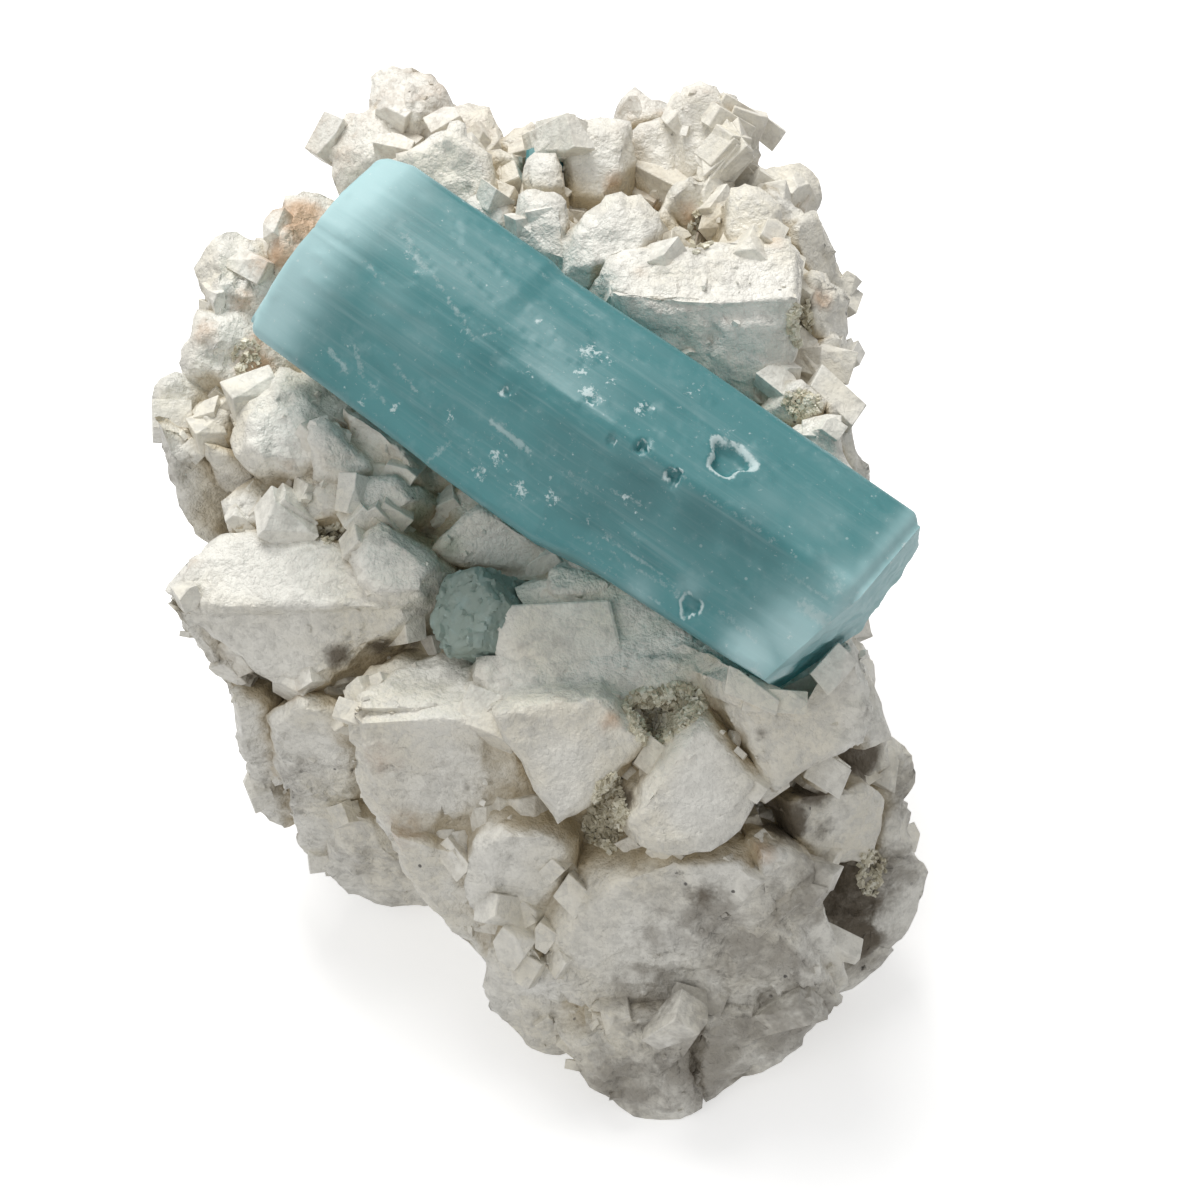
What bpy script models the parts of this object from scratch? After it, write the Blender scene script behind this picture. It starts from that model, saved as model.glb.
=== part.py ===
"""Aquamarine on albite: a hexagonal beryl prism lying across a blocky feldspar matrix.

Metres, +Z up, base on z = 0. The display face leans back; shapes on it are laid out on a
measuring sheet facing that side: x to the right, y down, one step each 0.11 mm.
"""

import itertools
import math
import random

import bmesh
import bpy
from mathutils import Matrix, Vector

MM = 0.001
STEP = 0.11                      # millimetres per sheet step
SHEET_MIDDLE = (600.0, 600.0)    # sheet point over the middle of the specimen
SIGHT = 311.0                    # distance the sheet is read from, millimetres
LEAN = math.radians(50.0)        # elevation of the display face's outward direction
FACE_HEIGHT = 46.0               # height of the sheet's middle over the base, millimetres

CRYSTAL_RADIUS = 13.1            # centre to corner of the large hexagonal prism
CRYSTAL_MIDDLE = (-1.8, 18.5, 11.0)
CRYSTAL_AXIS = (0.799, -0.559, 0.223)
CRYSTAL_TURN = 4.0               # degrees from straight out to the first corner
FRONT_RADIUS = 5.3               # the small crystal below the large one
FRONT_LENGTH = 14.0
TIP_RADIUS = 2.4                 # the small crystal behind, at the top
TIP_LENGTH = 10.0
GAP = 0.3                        # clearance between a crystal and its socket

RIGHT = Vector((1.0, 0.0, 0.0))
UP = Vector((0.0, math.sin(LEAN), math.cos(LEAN)))
OUT = Vector((0.0, -math.cos(LEAN), math.sin(LEAN)))
BASE = Vector((0.0, 0.0, FACE_HEIGHT))

# One entry per visible block: height of its face over the sheet, its slope to the right
# and upwards, its thickness, its edge chamfer, and its outline in sheet steps.
BLOCKS = (
    # lumps of the upper left
    (-16, 0.0, -0.3, 15, 2.6, ((368, 100), (373, 78), (392, 65), (412, 63), (431, 73), (446, 90),
                               (453, 104), (440, 130), (402, 134), (370, 114))),
    (-15, 0.2, -0.2, 13, 2.4, ((332, 126), (346, 112), (372, 110), (405, 130), (404, 152),
                               (362, 188), (340, 192), (329, 176), (331, 150))),
    (-13, 0.0, -0.2, 12, 1.6, ((440, 116), (455, 106), (469, 102), (489, 108), (495, 123),
                               (503, 141), (506, 156), (480, 160), (448, 156))),
    (-5, 0.1, 0.0, 14, 1.2, ((400, 156), (430, 133), (450, 123), (463, 128), (472, 146),
                               (490, 156), (496, 176), (500, 196), (480, 215), (440, 210),
                               (405, 176))),
    (-12, 0.0, -0.3, 10, 1.0, ((498, 142), (515, 130), (531, 124), (541, 136), (541, 150),
                              (520, 160), (500, 156))),
    (-9, 0.0, 0.2, 10, 0.8, ((484, 156), (500, 150), (521, 156), (524, 186), (515, 206),
                             (498, 198), (486, 176))),
    (-1, 0.0, -0.1, 14, 1.2, ((463, 198), (485, 188), (500, 192), (511, 205), (519, 226),
                              (517, 244), (492, 236), (468, 216))),
    (-14, -0.3, -0.3, 14, 2.2, ((268, 252), (275, 216), (286, 196), (302, 188), (320, 190),
                                (336, 200), (350, 216), (345, 258), (300, 276), (272, 268))),
    (-12, -0.2, -0.2, 15, 2.4, ((194, 268), (205, 248), (216, 236), (236, 230), (247, 238),
                                (266, 240), (286, 256), (290, 292), (276, 314), (240, 322),
                                (206, 312), (200, 292))),
    (-10, -0.2, 0.0, 13, 1.8, ((199, 312), (240, 308), (268, 322), (276, 350), (264, 378),
                               (244, 392), (214, 392), (185, 381), (177, 363), (190, 346),
                               (199, 332))),
    (-9, -0.4, 0.1, 12, 1.0, ((151, 408), (154, 386), (160, 378), (176, 370), (196, 384),
                               (211, 396), (207, 430), (191, 442), (166, 428))),
    (-6, -0.2, -0.1, 11, 2.0, ((190, 411), (200, 402), (225, 396), (246, 404), (246, 430),
                               (232, 449), (206, 441), (192, 426))),
    # blocks under the left end of the crystal
    (-1.5, -0.1, -0.2, 16, 2.6, ((228, 441), (235, 416), (249, 400), (262, 380), (280, 368),
                              (312, 376), (352, 408), (356, 440), (342, 470), (300, 480),
                              (250, 471), (232, 456))),
    (1, -0.2, 0.1, 10, 1.6, ((305, 441), (312, 426), (325, 419), (346, 430), (369, 455),
                               (377, 472), (350, 484), (315, 478))),
    (-1, 0.2, 0.3, 12, 0.8, ((343, 408), (380, 425), (412, 462), (421, 482), (400, 490),
                             (376, 474), (349, 442))),
    (-9, -0.8, 0.3, 12, 1.2, ((153, 415), (190, 438), (206, 444), (222, 460), (227, 476),
                              (224, 492), (227, 512), (216, 531), (195, 534), (180, 511),
                              (170, 480), (160, 447))),
    (-7, 0.0, 0.8, 10, 0.6, ((205, 443), (230, 452), (255, 466), (256, 486), (235, 497),
                             (220, 488))),
    (-3, 0.0, -0.2, 13, 1.6, ((222, 502), (235, 488), (255, 478), (276, 488), (284, 505),
                              (276, 522), (262, 534), (230, 536), (224, 520))),
    (-1, 0.1, -0.1, 14, 1.4, ((283, 496), (300, 476), (340, 472), (365, 484), (353, 505),
                              (342, 522), (300, 534), (275, 534), (279, 512))),
    (-3, 0.0, 0.7, 12, 1.0, ((275, 532), (318, 512), (352, 508), (367, 530), (352, 547),
                             (330, 552), (300, 546))),
    (1, 0.0, 0.1, 14, 1.0, ((348, 506), (352, 490), (370, 476), (396, 474), (412, 484),
                            (421, 500), (402, 516), (377, 521), (361, 536), (352, 522))),
    (-6, 0.0, 0.3, 12, 0.6, ((384, 520), (420, 480), (455, 480), (500, 520), (470, 545),
                             (430, 560), (396, 545))),
    (1.5, 0.0, 0.3, 16, 1.0, ((430, 550), (450, 530), (464, 513), (480, 504), (505, 516),
                               (552, 548), (562, 566), (548, 577), (530, 568), (515, 560),
                               (480, 556), (460, 557), (444, 564))),
    # the broad wing to the left and the block beside it
    (2, 0.1, -0.45, 13, 1.6, ((163, 591), (171, 575), (200, 553), (216, 537), (260, 533),
                              (310, 536), (346, 548), (372, 566), (414, 600), (400, 612),
                              (300, 612), (200, 616))),
    (1.5, 0.15, 0.25, 12, 1.4, ((168, 598), (260, 596), (414, 600), (420, 618), (390, 634),
                                (346, 650), (326, 684), (311, 692), (286, 689), (264, 671),
                                (220, 641), (190, 622))),
    (5, 0.0, -0.25, 14, 1.6, ((346, 549), (370, 529), (382, 522), (395, 529), (406, 541),
                              (430, 556), (441, 570), (426, 597), (400, 609), (362, 604),
                              (350, 574))),
    (-5, 0.0, 0.5, 12, 0.8, ((300, 650), (345, 628), (420, 608), (430, 650), (402, 664),
                             (372, 672), (342, 696), (318, 700))),
    (-6, -0.4, 0.7, 12, 1.0, ((166, 602), (200, 618), (240, 640), (272, 668), (284, 692),
                              (270, 704), (246, 708), (233, 690), (226, 670), (206, 646),
                              (181, 622))),
    # the steep left wall
    (-12, -0.5, 1.2, 16, 1.4, ((233, 692), (262, 690), (280, 720), (284, 752), (296, 800),
                               (284, 830), (268, 822), (256, 800), (246, 780), (243, 752),
                               (234, 722))),
    (-12, 0.1, 1.4, 18, 1.2, ((268, 716), (300, 696), (346, 704), (358, 740), (364, 790),
                              (348, 830), (332, 860), (311, 862), (300, 850), (292, 800))),
    (-20, 0.2, 1.2, 18, 1.6, ((334, 822), (350, 800), (366, 804), (386, 830), (402, 860),
                              (444, 894), (434, 904), (392, 906), (347, 896), (326, 866),
                              (330, 842))),
    (3, 0.0, -0.3, 8, 0.6, ((345, 690), (370, 665), (396, 657), (416, 664), (396, 690),
                            (352, 710))),
    (6, 0.0, -0.9, 14, 1.0, ((350, 712), (366, 690), (400, 668), (440, 654), (478, 649),
                             (498, 690), (470, 706), (410, 716))),
    (3.5, 0.0, 0.65, 18, 1.6, ((351, 714), (410, 712), (470, 700), (502, 700), (514, 770),
                               (562, 822), (505, 850), (468, 872), (474, 900), (424, 880),
                               (392, 850), (386, 820), (365, 800), (362, 770), (355, 740))),
    (-4, 0.0, 0.9, 14, 1.4, ((390, 830), (460, 842), (478, 900), (502, 930), (522, 948),
                             (490, 962), (460, 940), (430, 902), (402, 872))),
    # the white blocks below the crystal
    (8.5, 0.05, -0.2, 20, 1.0, ((477, 640), (485, 626), (490, 600), (496, 594), (514, 593),
                              (518, 587), (548, 586), (610, 560), (670, 600), (712, 640),
                              (704, 690), (672, 706), (610, 702), (560, 703), (500, 702),
                              (478, 698), (475, 670))),
    (7.5, 0.0, -0.3, 12, 0.6, ((548, 569), (562, 560), (600, 556), (622, 578), (600, 594),
                               (560, 598), (546, 590))),
    (13.5, 0.0, 0.2, 18, 1.0, ((495, 713), (510, 700), (600, 694), (646, 741), (640, 752),
                               (601, 796), (576, 816), (558, 823), (545, 806), (501, 731))),
    (4, 0.0, 0.7, 16, 1.6, ((466, 861), (475, 836), (500, 824), (530, 838), (562, 828),
                            (579, 840), (577, 870), (557, 891), (541, 921), (520, 929),
                            (490, 921), (470, 906), (467, 886))),
    (15, 0.0, 0.1, 18, 1.6, ((630, 811), (640, 790), (664, 762), (680, 736), (700, 714),
                             (716, 721), (746, 754), (767, 781), (761, 797), (746, 806),
                             (741, 830), (711, 852), (680, 856), (660, 853), (640, 847),
                             (630, 827))),
    (7.5, 0.0, 0.2, 14, 0.8, ((616, 706), (634, 690), (650, 676), (682, 682), (716, 696),
                              (704, 720), (676, 750), (650, 750), (634, 742), (619, 726))),
    (9, 0.1, 0.2, 14, 0.6, ((640, 676), (656, 655), (684, 640), (716, 650), (724, 690),
                             (690, 704), (660, 698))),
    (2, 0.0, 0.7, 16, 0.6, ((572, 822), (600, 796), (632, 766), (654, 780), (630, 830),
                            (624, 868), (580, 874))),
    # the block holding the right end of the crystal, and the hollows under it
    (17, -0.1, 0.25, 22, 1.2, ((728, 690), (740, 650), (790, 640), (840, 630), (863, 652),
                               (872, 690), (874, 720), (866, 736), (840, 743), (800, 771),
                               (776, 791), (766, 780), (755, 750), (740, 721))),
    (19, 0.0, 0.1, 16, 1.4, ((722, 682), (740, 664), (800, 670), (800, 690), (776, 708),
                             (748, 712), (728, 702))),
    (7, -0.7, 0.1, 14, 1.0, ((838, 650), (852, 641), (864, 660), (878, 690), (886, 716),
                             (892, 740), (870, 748), (846, 720))),
    (9.5, 0.0, 0.2, 16, 0.6, ((805, 772), (825, 755), (833, 751), (849, 775), (846, 783),
                              (826, 794), (812, 786))),
    (-3, -0.3, 0.3, 10, 0.6, ((776, 786), (830, 740), (884, 726), (892, 766), (850, 800),
                              (800, 810))),
    (3, -0.5, 0.5, 18, 1.4, ((778, 797), (802, 788), (832, 796), (870, 786), (884, 800),
                             (880, 830), (872, 862), (845, 866), (822, 866), (800, 852),
                             (785, 832))),
    (-7, -0.5, 0.2, 12, 1.4, ((868, 742), (890, 737), (906, 745), (913, 760), (918, 776),
                              (915, 790), (906, 802), (885, 804), (870, 792), (866, 766))),
    (-9, -0.5, 0.3, 12, 1.2, ((880, 804), (900, 799), (912, 812), (909, 846), (902, 862),
                              (880, 856), (874, 826))),
    (-13, -0.5, 0.5, 14, 1.2, ((876, 852), (900, 852), (916, 855), (929, 872), (925, 890),
                               (918, 911), (906, 936), (890, 951), (870, 947), (864, 920),
                               (868, 880))),
    (-13, 0.0, 0.6, 10, 0.6, ((812, 860), (870, 856), (882, 900), (872, 950), (846, 975),
                              (824, 960), (815, 900))),
    (-19, -0.4, 0.8, 14, 1.4, ((846, 950), (871, 934), (893, 950), (876, 971), (856, 986),
                               (836, 998), (826, 978))),
    (2, -0.5, 0.8, 18, 1.0, ((758, 846), (790, 850), (814, 862), (817, 896), (826, 921),
                             (824, 946), (830, 966), (846, 984), (822, 1002), (800, 966),
                             (776, 926), (758, 896))),
    # the mottled front and the foot
    (3, 0.0, 0.75, 22, 2.4, ((546, 936), (570, 900), (600, 870), (640, 858), (670, 846),
                             (712, 848), (748, 846), (776, 872), (796, 930), (812, 962),
                             (836, 1000), (820, 1021), (760, 1024), (700, 1016), (640, 1024),
                             (590, 1014), (552, 984))),
    (-5, 0.1, 1.0, 18, 2.0, ((487, 991), (490, 961), (505, 934), (520, 924), (532, 928),
                             (548, 940), (566, 980), (604, 1020), (584, 1052), (560, 1056),
                             (530, 1050), (509, 1026), (492, 1010))),
    (-5.5, 0.1, 0.6, 16, 2.0, ((558, 1036), (600, 1006), (684, 1004), (694, 1060), (702, 1108),
                              (680, 1119), (640, 1121), (618, 1106), (590, 1086), (570, 1062))),
    (-5.5, -0.2, 0.7, 18, 1.8, ((688, 1010), (760, 1000), (820, 996), (829, 1010), (802, 1036),
                              (780, 1060), (740, 1081), (706, 1102), (694, 1060))),
    # the upper right: columns, cubes and the broad ledge
    (-2, 0.0, -0.2, 13, 1.0, ((526, 158), (534, 152), (556, 152), (561, 166), (564, 188),
                              (555, 196), (526, 194), (523, 178))),
    (3, 0.0, -0.1, 15, 1.6, ((515, 216), (520, 196), (535, 187), (555, 189), (568, 200),
                             (570, 240), (570, 270), (540, 262), (516, 242))),
    (-5, 0.0, -0.1, 18, 1.4, ((559, 123), (600, 120), (628, 124), (634, 160), (626, 178),
                              (614, 202), (600, 208), (570, 202), (562, 166))),
    (5, 0.0, -0.2, 16, 1.8, ((568, 226), (585, 211), (615, 195), (641, 194), (657, 214),
                               (662, 231), (652, 252), (620, 270), (600, 282), (580, 284),
                               (563, 276), (562, 240))),
    (-14, 0.0, -0.3, 10, 1.4, ((620, 97), (635, 89), (650, 98), (670, 104), (676, 120),
                               (656, 134), (622, 128))),
    (-9, 0.0, 0.0, 14, 1.4, ((624, 141), (640, 125), (660, 118), (676, 122), (680, 160),
                             (686, 188), (668, 204), (656, 219), (638, 198), (622, 181))),
    (-7, 0.1, 0.0, 18, 1.4, ((674, 102), (683, 87), (700, 82), (716, 87), (724, 100),
                             (744, 130), (740, 152), (733, 176), (712, 182), (690, 184),
                             (679, 165), (672, 135))),
    (-10, -0.3, 0.0, 13, 1.0, ((718, 93), (736, 97), (750, 104), (762, 118), (761, 150),
                               (756, 164), (744, 182), (726, 178))),
    (-4, -0.5, 0.2, 14, 0.8, ((668, 194), (690, 176), (728, 178), (736, 190), (726, 252),
                              (716, 264), (698, 260), (686, 240), (664, 206))),
    (3, 0.1, -0.1, 18, 1.2, ((731, 188), (745, 182), (759, 187), (770, 197), (778, 206),
                             (781, 232), (774, 258), (750, 268), (722, 264), (725, 220))),
    (-2, 0.2, 0.2, 14, 0.8, ((645, 225), (664, 204), (690, 236), (704, 262), (660, 266),
                             (640, 256))),
    (7.5, 0.0, -0.55, 20, 1.0, ((600, 272), (608, 256), (625, 250), (655, 247), (673, 252),
                              (686, 258), (720, 258), (750, 252), (776, 244), (790, 240),
                              (801, 252), (802, 302), (720, 312), (640, 306), (608, 292))),
    (8, 0.0, 0.35, 20, 1.0, ((612, 292), (640, 296), (720, 302), (802, 296), (798, 345),
                               (788, 386), (770, 410), (740, 400), (700, 378), (655, 345),
                               (624, 318))),
    (-5, -0.2, 0.0, 12, 0.8, ((766, 186), (785, 198), (802, 214), (812, 222), (802, 246),
                              (790, 246), (776, 232))),
    (-8, -0.3, -0.1, 12, 2.0, ((760, 172), (776, 169), (800, 163), (813, 171), (822, 190),
                               (820, 206), (805, 217), (784, 208), (768, 192))),
    (-6, -0.8, 0.1, 13, 1.0, ((796, 216), (817, 210), (826, 235), (834, 251), (846, 276),
                              (852, 291), (842, 304), (820, 290), (800, 276), (792, 240))),
    (0, -0.5, 0.0, 14, 1.4, ((798, 280), (812, 271), (826, 274), (850, 300), (853, 320),
                             (848, 346), (830, 354), (810, 344), (800, 310))),
    (1, -0.5, 0.1, 14, 1.4, ((806, 346), (835, 334), (849, 350), (843, 376), (839, 402),
                             (815, 402), (800, 378), (798, 350))),
    (9, 0.0, 0.2, 14, 1.0, ((776, 398), (786, 380), (802, 378), (828, 398), (828, 418),
                            (806, 440), (785, 430), (764, 412))),
    (12, 0.0, 0.1, 14, 1.0, ((788, 432), (805, 422), (826, 422), (840, 440), (846, 460),
                            (858, 482), (830, 476), (800, 456))),
    (7, -0.6, 0.1, 14, 1.0, ((824, 398), (840, 394), (849, 410), (851, 430), (856, 450),
                             (862, 465), (869, 486), (850, 484), (838, 456), (824, 426))),
)

# The solid under the blocks, as two overlapping lumps (x, y, z in millimetres), and how
# far their upper points are raised.
CORE_LIFT = 2.4
CORE_MIDDLE = (-3.0, 12.0, 28.4)
CORE_FRONT = (
    (4, -32, -6), (-9, -24, -6), (20, -22, -6), (-20, -6, -6), (26, -10, -6), (26, 10, -6),
    (-28, 4, -6), (20, 26, -6), (-20, 26, -6), (6, -26, 22), (-14, -14, 20), (22, -18, 20),
    (-14, -14, 36), (8, -22, 32), (14, -16, 42), (24, -12, 36), (-27, 2, 32), (26, 6, 38),
    (-30, 12, 44), (-2, 12, 53), (16, 2, 50), (25, 14, 48),
)
CORE_BACK = (
    (-27, 4, -6), (26, 6, -6), (-24, 36, -6), (21, 36, -6), (-30, 6, 38), (-34, 16, 42),
    (-32, 34, 48), (-26, 44, 57), (-14, 48, 65), (4, 46, 64), (16, 48, 64), (22, 42, 61),
    (25, 22, 56), (18, 12, 55), (-20, 24, 57), (-2, 14, 54), (-26, 44, 26), (17, 46, 28),
    (24, 30, 14), (-29, 26, 12),
)

# Outline of the whole specimen on the sheet; nothing on the hidden sides passes it.
OUTLINE = (
    (150, 408), (154, 384), (176, 362), (198, 340), (200, 300), (192, 268), (212, 238),
    (262, 238), (275, 210), (310, 187), (333, 198), (332, 125), (368, 110), (373, 78),
    (412, 62), (452, 103), (490, 108), (500, 140), (530, 124), (541, 148), (560, 122),
    (622, 122), (635, 89), (672, 108), (683, 86), (700, 82), (750, 104), (762, 118),
    (757, 160), (800, 163), (822, 190), (833, 250), (852, 300), (838, 400), (868, 487),
    (914, 515), (855, 640), (890, 738), (918, 775), (908, 850), (929, 872), (895, 950),
    (835, 1000), (780, 1060), (700, 1110), (640, 1121), (540, 1055), (487, 990),
    (430, 900), (345, 895), (255, 800), (232, 720), (205, 645), (162, 595), (215, 535),
    (175, 500),
)


def to_world(right, up, out):
    """A point of the display face (millimetres) in metres."""
    return (BASE + RIGHT * right + UP * up + OUT * out) * MM


def on_sheet(x, y, out):
    """The point at a height over the sheet that lies behind sheet point (x, y)."""
    spread = STEP * (SIGHT - out) / SIGHT
    return to_world((x - SHEET_MIDDLE[0]) * spread, (SHEET_MIDDLE[1] - y) * spread, out)


def sheet_of(point):
    """The sheet point in front of a point given in metres."""
    local = point / MM - BASE
    spread = STEP * (SIGHT - local.dot(OUT)) / SIGHT
    return SHEET_MIDDLE[0] + local.dot(RIGHT) / spread, SHEET_MIDDLE[1] - local.dot(UP) / spread


def inside_outline(point, margin=6.0):
    """Whether a point in metres stays inside the specimen's outline."""
    px, py = sheet_of(point)
    cx, cy = 560.0, 590.0
    reach = math.hypot(px - cx, py - cy)
    px += (px - cx) / reach * margin
    py += (py - cy) / reach * margin
    inside = False
    for (ax, ay), (bx, by) in zip(OUTLINE, OUTLINE[1:] + OUTLINE[:1]):
        if (ay > py) != (by > py) and px < (bx - ax) * (py - ay) / (by - ay) + ax:
            inside = not inside
    return inside


def hull(name, points):
    """A closed convex solid round the points."""
    bm = bmesh.new()
    for point in points:
        bm.verts.new(point)
    result = bmesh.ops.convex_hull(bm, input=bm.verts[:])
    spare = [v for v in bm.verts if not v.link_faces]
    bmesh.ops.delete(bm, geom=spare, context="VERTS")
    bmesh.ops.recalc_face_normals(bm, faces=bm.faces[:])
    del result
    mesh = bpy.data.meshes.new(name)
    bm.to_mesh(mesh)
    bm.free()
    return bpy.data.objects.new(name, mesh)


def sheet_block(index, spec, rng):
    """One visible block: outline, chamfered face and a root that leans into the core."""
    out, slope_r, slope_u, deep, chamfer, outline = spec
    mx = sum(p[0] for p in outline) / len(outline)
    my = sum(p[1] for p in outline) / len(outline)
    middle = on_sheet(mx, my, out)
    inward = (Vector(CORE_MIDDLE) * MM - middle).normalized() - OUT * 0.7
    root = middle + inward.normalized() * deep * MM
    points = []
    for number, (x, y) in enumerate(outline):
        dx = (x - mx) * STEP
        dy = (my - y) * STEP
        height = out + slope_r * dx + slope_u * dy
        cut = chamfer * rng.uniform(0.75, 1.3)
        inner = 1.0 - min(cut / max(math.hypot(dx, dy), 0.1), 0.7)
        points.append(on_sheet(mx + (x - mx) * inner, my + (y - my) * inner, height))
        rim = on_sheet(x, y, height - cut * rng.uniform(0.8, 1.2))
        points.append(rim)
        skirt = root + (on_sheet(x, y, out) - middle) * 1.3
        if number % 2 == 0:
            points.append(skirt if inside_outline(skirt, 0.0) else root + (skirt - root) * 0.65)
    return hull(f"block_{index:02d}", points)


def rubble_block(index, at, normal, rng):
    """One block of the hidden sides: a skewed cleavage box with worn corners."""
    size = [rng.uniform(7.0, 15.0) for _ in range(2)] + [rng.uniform(5.0, 12.0)]
    spin = Matrix.Rotation(rng.uniform(-0.5, 0.5), 3, normal)
    tip = Matrix.Rotation(rng.uniform(-0.4, 0.4), 3, "X")
    frame = spin @ normal.to_track_quat("Z", "Y").to_matrix() @ tip
    skew = rng.uniform(-0.25, 0.25)
    wear = rng.uniform(0.12, 0.3)
    lift = rng.uniform(-0.2, 0.1)
    corners = []
    for sx, sy, sz in itertools.product((-1, 1), (-1, 1), (-1, 1)):
        for short in range(3 if sz > 0 else 1):
            part = [sx, sy, sz]
            if sz > 0:
                part[short] *= 1.0 - wear * rng.uniform(0.6, 1.5)
            local = Vector((part[0] * size[0] + part[1] * skew * size[1],
                            part[1] * size[1], (part[2] + lift) * size[2] * 0.8))
            corners.append(frame @ local * (0.5 * MM))
    for scale in (1.0, 0.8, 0.62):
        points = [at + local * scale for local in corners]
        if all(inside_outline(p, 3.0) for p in points):
            return hull(f"rubble_{index:02d}", points)
    return None


def surface_points(source, count, rng):
    """Seeded points on the faces of the core that look away from the display face."""
    mesh = source.data
    faces = [f for f in mesh.polygons if f.normal.dot(OUT) < 0.15 and f.center.z > 0.004]
    weights = [f.area for f in faces]
    for face in rng.choices(faces, weights=weights, k=count):
        corners = [mesh.vertices[i].co for i in face.vertices]
        share = [rng.random() + 0.05 for _ in corners]
        total = sum(share)
        at = sum((c * (s / total) for c, s in zip(corners, share)), Vector())
        yield at, face.normal.copy()


def solid_mesh(source, modifiers):
    """The mesh of an object once its Boolean modifiers have run."""
    scene = bpy.context.scene
    scene.collection.objects.link(source)
    for kind, operand in modifiers:
        modifier = source.modifiers.new(kind.title(), "BOOLEAN")
        modifier.operation = kind
        modifier.solver = "EXACT"
        if isinstance(operand, bpy.types.Collection):
            modifier.operand_type = "COLLECTION"
            modifier.collection = operand
        else:
            modifier.object = operand
    bpy.context.view_layer.update()
    graph = bpy.context.evaluated_depsgraph_get()
    mesh = bpy.data.meshes.new_from_object(source.evaluated_get(graph))
    return mesh


def largest_piece(bm):
    """Drop every shell but the one with the most faces."""
    left = set(bm.faces)
    shells = []
    while left:
        stack = [left.pop()]
        shell = set(stack)
        while stack:
            for edge in stack.pop().edges:
                for face in edge.link_faces:
                    if face in left:
                        left.remove(face)
                        shell.add(face)
                        stack.append(face)
        shells.append(shell)
    shells.sort(key=len)
    for shell in shells[:-1]:
        bmesh.ops.delete(bm, geom=list(shell), context="FACES")


def tidy(bm):
    """Join flat neighbours and leave triangles only."""
    bmesh.ops.dissolve_limit(bm, angle_limit=math.radians(0.5), verts=bm.verts[:], edges=bm.edges[:])
    bmesh.ops.triangulate(bm, faces=bm.faces[:])
    bmesh.ops.recalc_face_normals(bm, faces=bm.faces[:])


def finish(name, bm, colour, roughness):
    """Store a finished solid as a named object with its material."""
    mesh = bpy.data.meshes.new(name)
    bm.to_mesh(mesh)
    bm.free()
    material = bpy.data.materials.new(name)
    material.use_nodes = True
    shader = material.node_tree.nodes["Principled BSDF"]
    shader.inputs["Base Color"].default_value = (*colour, 1.0)
    shader.inputs["Roughness"].default_value = roughness
    material.diffuse_color = (*colour, 1.0)
    mesh.materials.append(material)
    item = bpy.data.objects.new(name, mesh)
    bpy.context.scene.collection.objects.link(item)
    return item


def axis_frame(axis):
    """Axis, across (to the upper right) and outward directions in the display frame."""
    along = Vector(axis).normalized()
    outward = Vector((0.0, 0.0, 1.0))
    outward -= along * along.dot(outward)
    outward.normalize()
    across = outward.cross(along)
    return along, across, outward


def prism_point(middle, frame, along, radius, degrees):
    """A point of a prism in metres from its place along the axis and round it."""
    angle = math.radians(degrees)
    local = Vector(middle) + frame[0] * along
    local += frame[1] * (radius * math.sin(angle)) + frame[2] * (radius * math.cos(angle))
    return to_world(*local)


def loft(rings):
    """A closed solid from rings of equal length, end caps included."""
    bm = bmesh.new()
    rows = [[bm.verts.new(p) for p in ring] for ring in rings]
    count = len(rows[0])
    for lower, upper in zip(rows, rows[1:]):
        for i in range(count):
            j = (i + 1) % count
            bm.faces.new((lower[i], lower[j], upper[j], upper[i]))
    bm.faces.new(rows[0][::-1])
    bm.faces.new(rows[-1])
    bmesh.ops.recalc_face_normals(bm, faces=bm.faces[:])
    return bm


# Stations of the large prism: place along the axis, then for each of its six corner
# lines the share of the radius and the shift along the axis.
STATIONS = (
    (-34.2, (0.90, 0.82, 0.88, 0.90, 0.92, 0.92), (0.8, 0, 0, 0, -2.0, -0.6)),
    (-33.0, (1.01, 0.97, 0.98, 1.00, 1.03, 1.01), (0.8, 0, 0, 0, -2.0, -0.6)),
    (-30.2, (1.01, 1.06, 1.00, 1.00, 1.03, 1.01), (0, 0, 0, 0, 0, 0)),
    (-11.6, (1.02, 1.04, 1.00, 1.00, 1.09, 1.04), (0, 0, 0, 0, 0, 0)),
    (-9.8, (1.02, 1.00, 1.00, 1.00, 1.10, 1.05), (0, 0, 0, 0, 0, 0)),
    (4.5, (1.02, 1.01, 1.00, 1.00, 1.13, 1.05), (0, 0, 0, 0, 0, 0)),
    (9.5, (1.01, 1.01, 0.99, 0.99, 1.04, 1.02), (0, 0, 0, 0, 0, 0)),
    (34.4, (0.97, 0.98, 0.95, 0.96, 1.01, 0.98), (1.2, 0.9, 0.2, 0.0, 0.0, 0.6)),
    (35.6, (0.90, 0.92, 0.90, 0.91, 0.94, 0.90), (1.2, 0.9, 0.2, 0.0, 0.0, 0.6)),
)

# Pits etched into the large prism: place along, place across, reach out of the axis,
# half length, half width and depth, all in millimetres.
PITS = (
    (17.2, 6.2, 9.3, 2.3, 1.9, 1.3),
    (10.3, 0.9, 12.9, 1.0, 0.8, 1.0),
    (14.5, 0.1, 12.6, 1.0, 0.8, 0.9),
    (22.6, -9.0, 8.6, 1.5, 0.9, 0.8),
)


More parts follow.
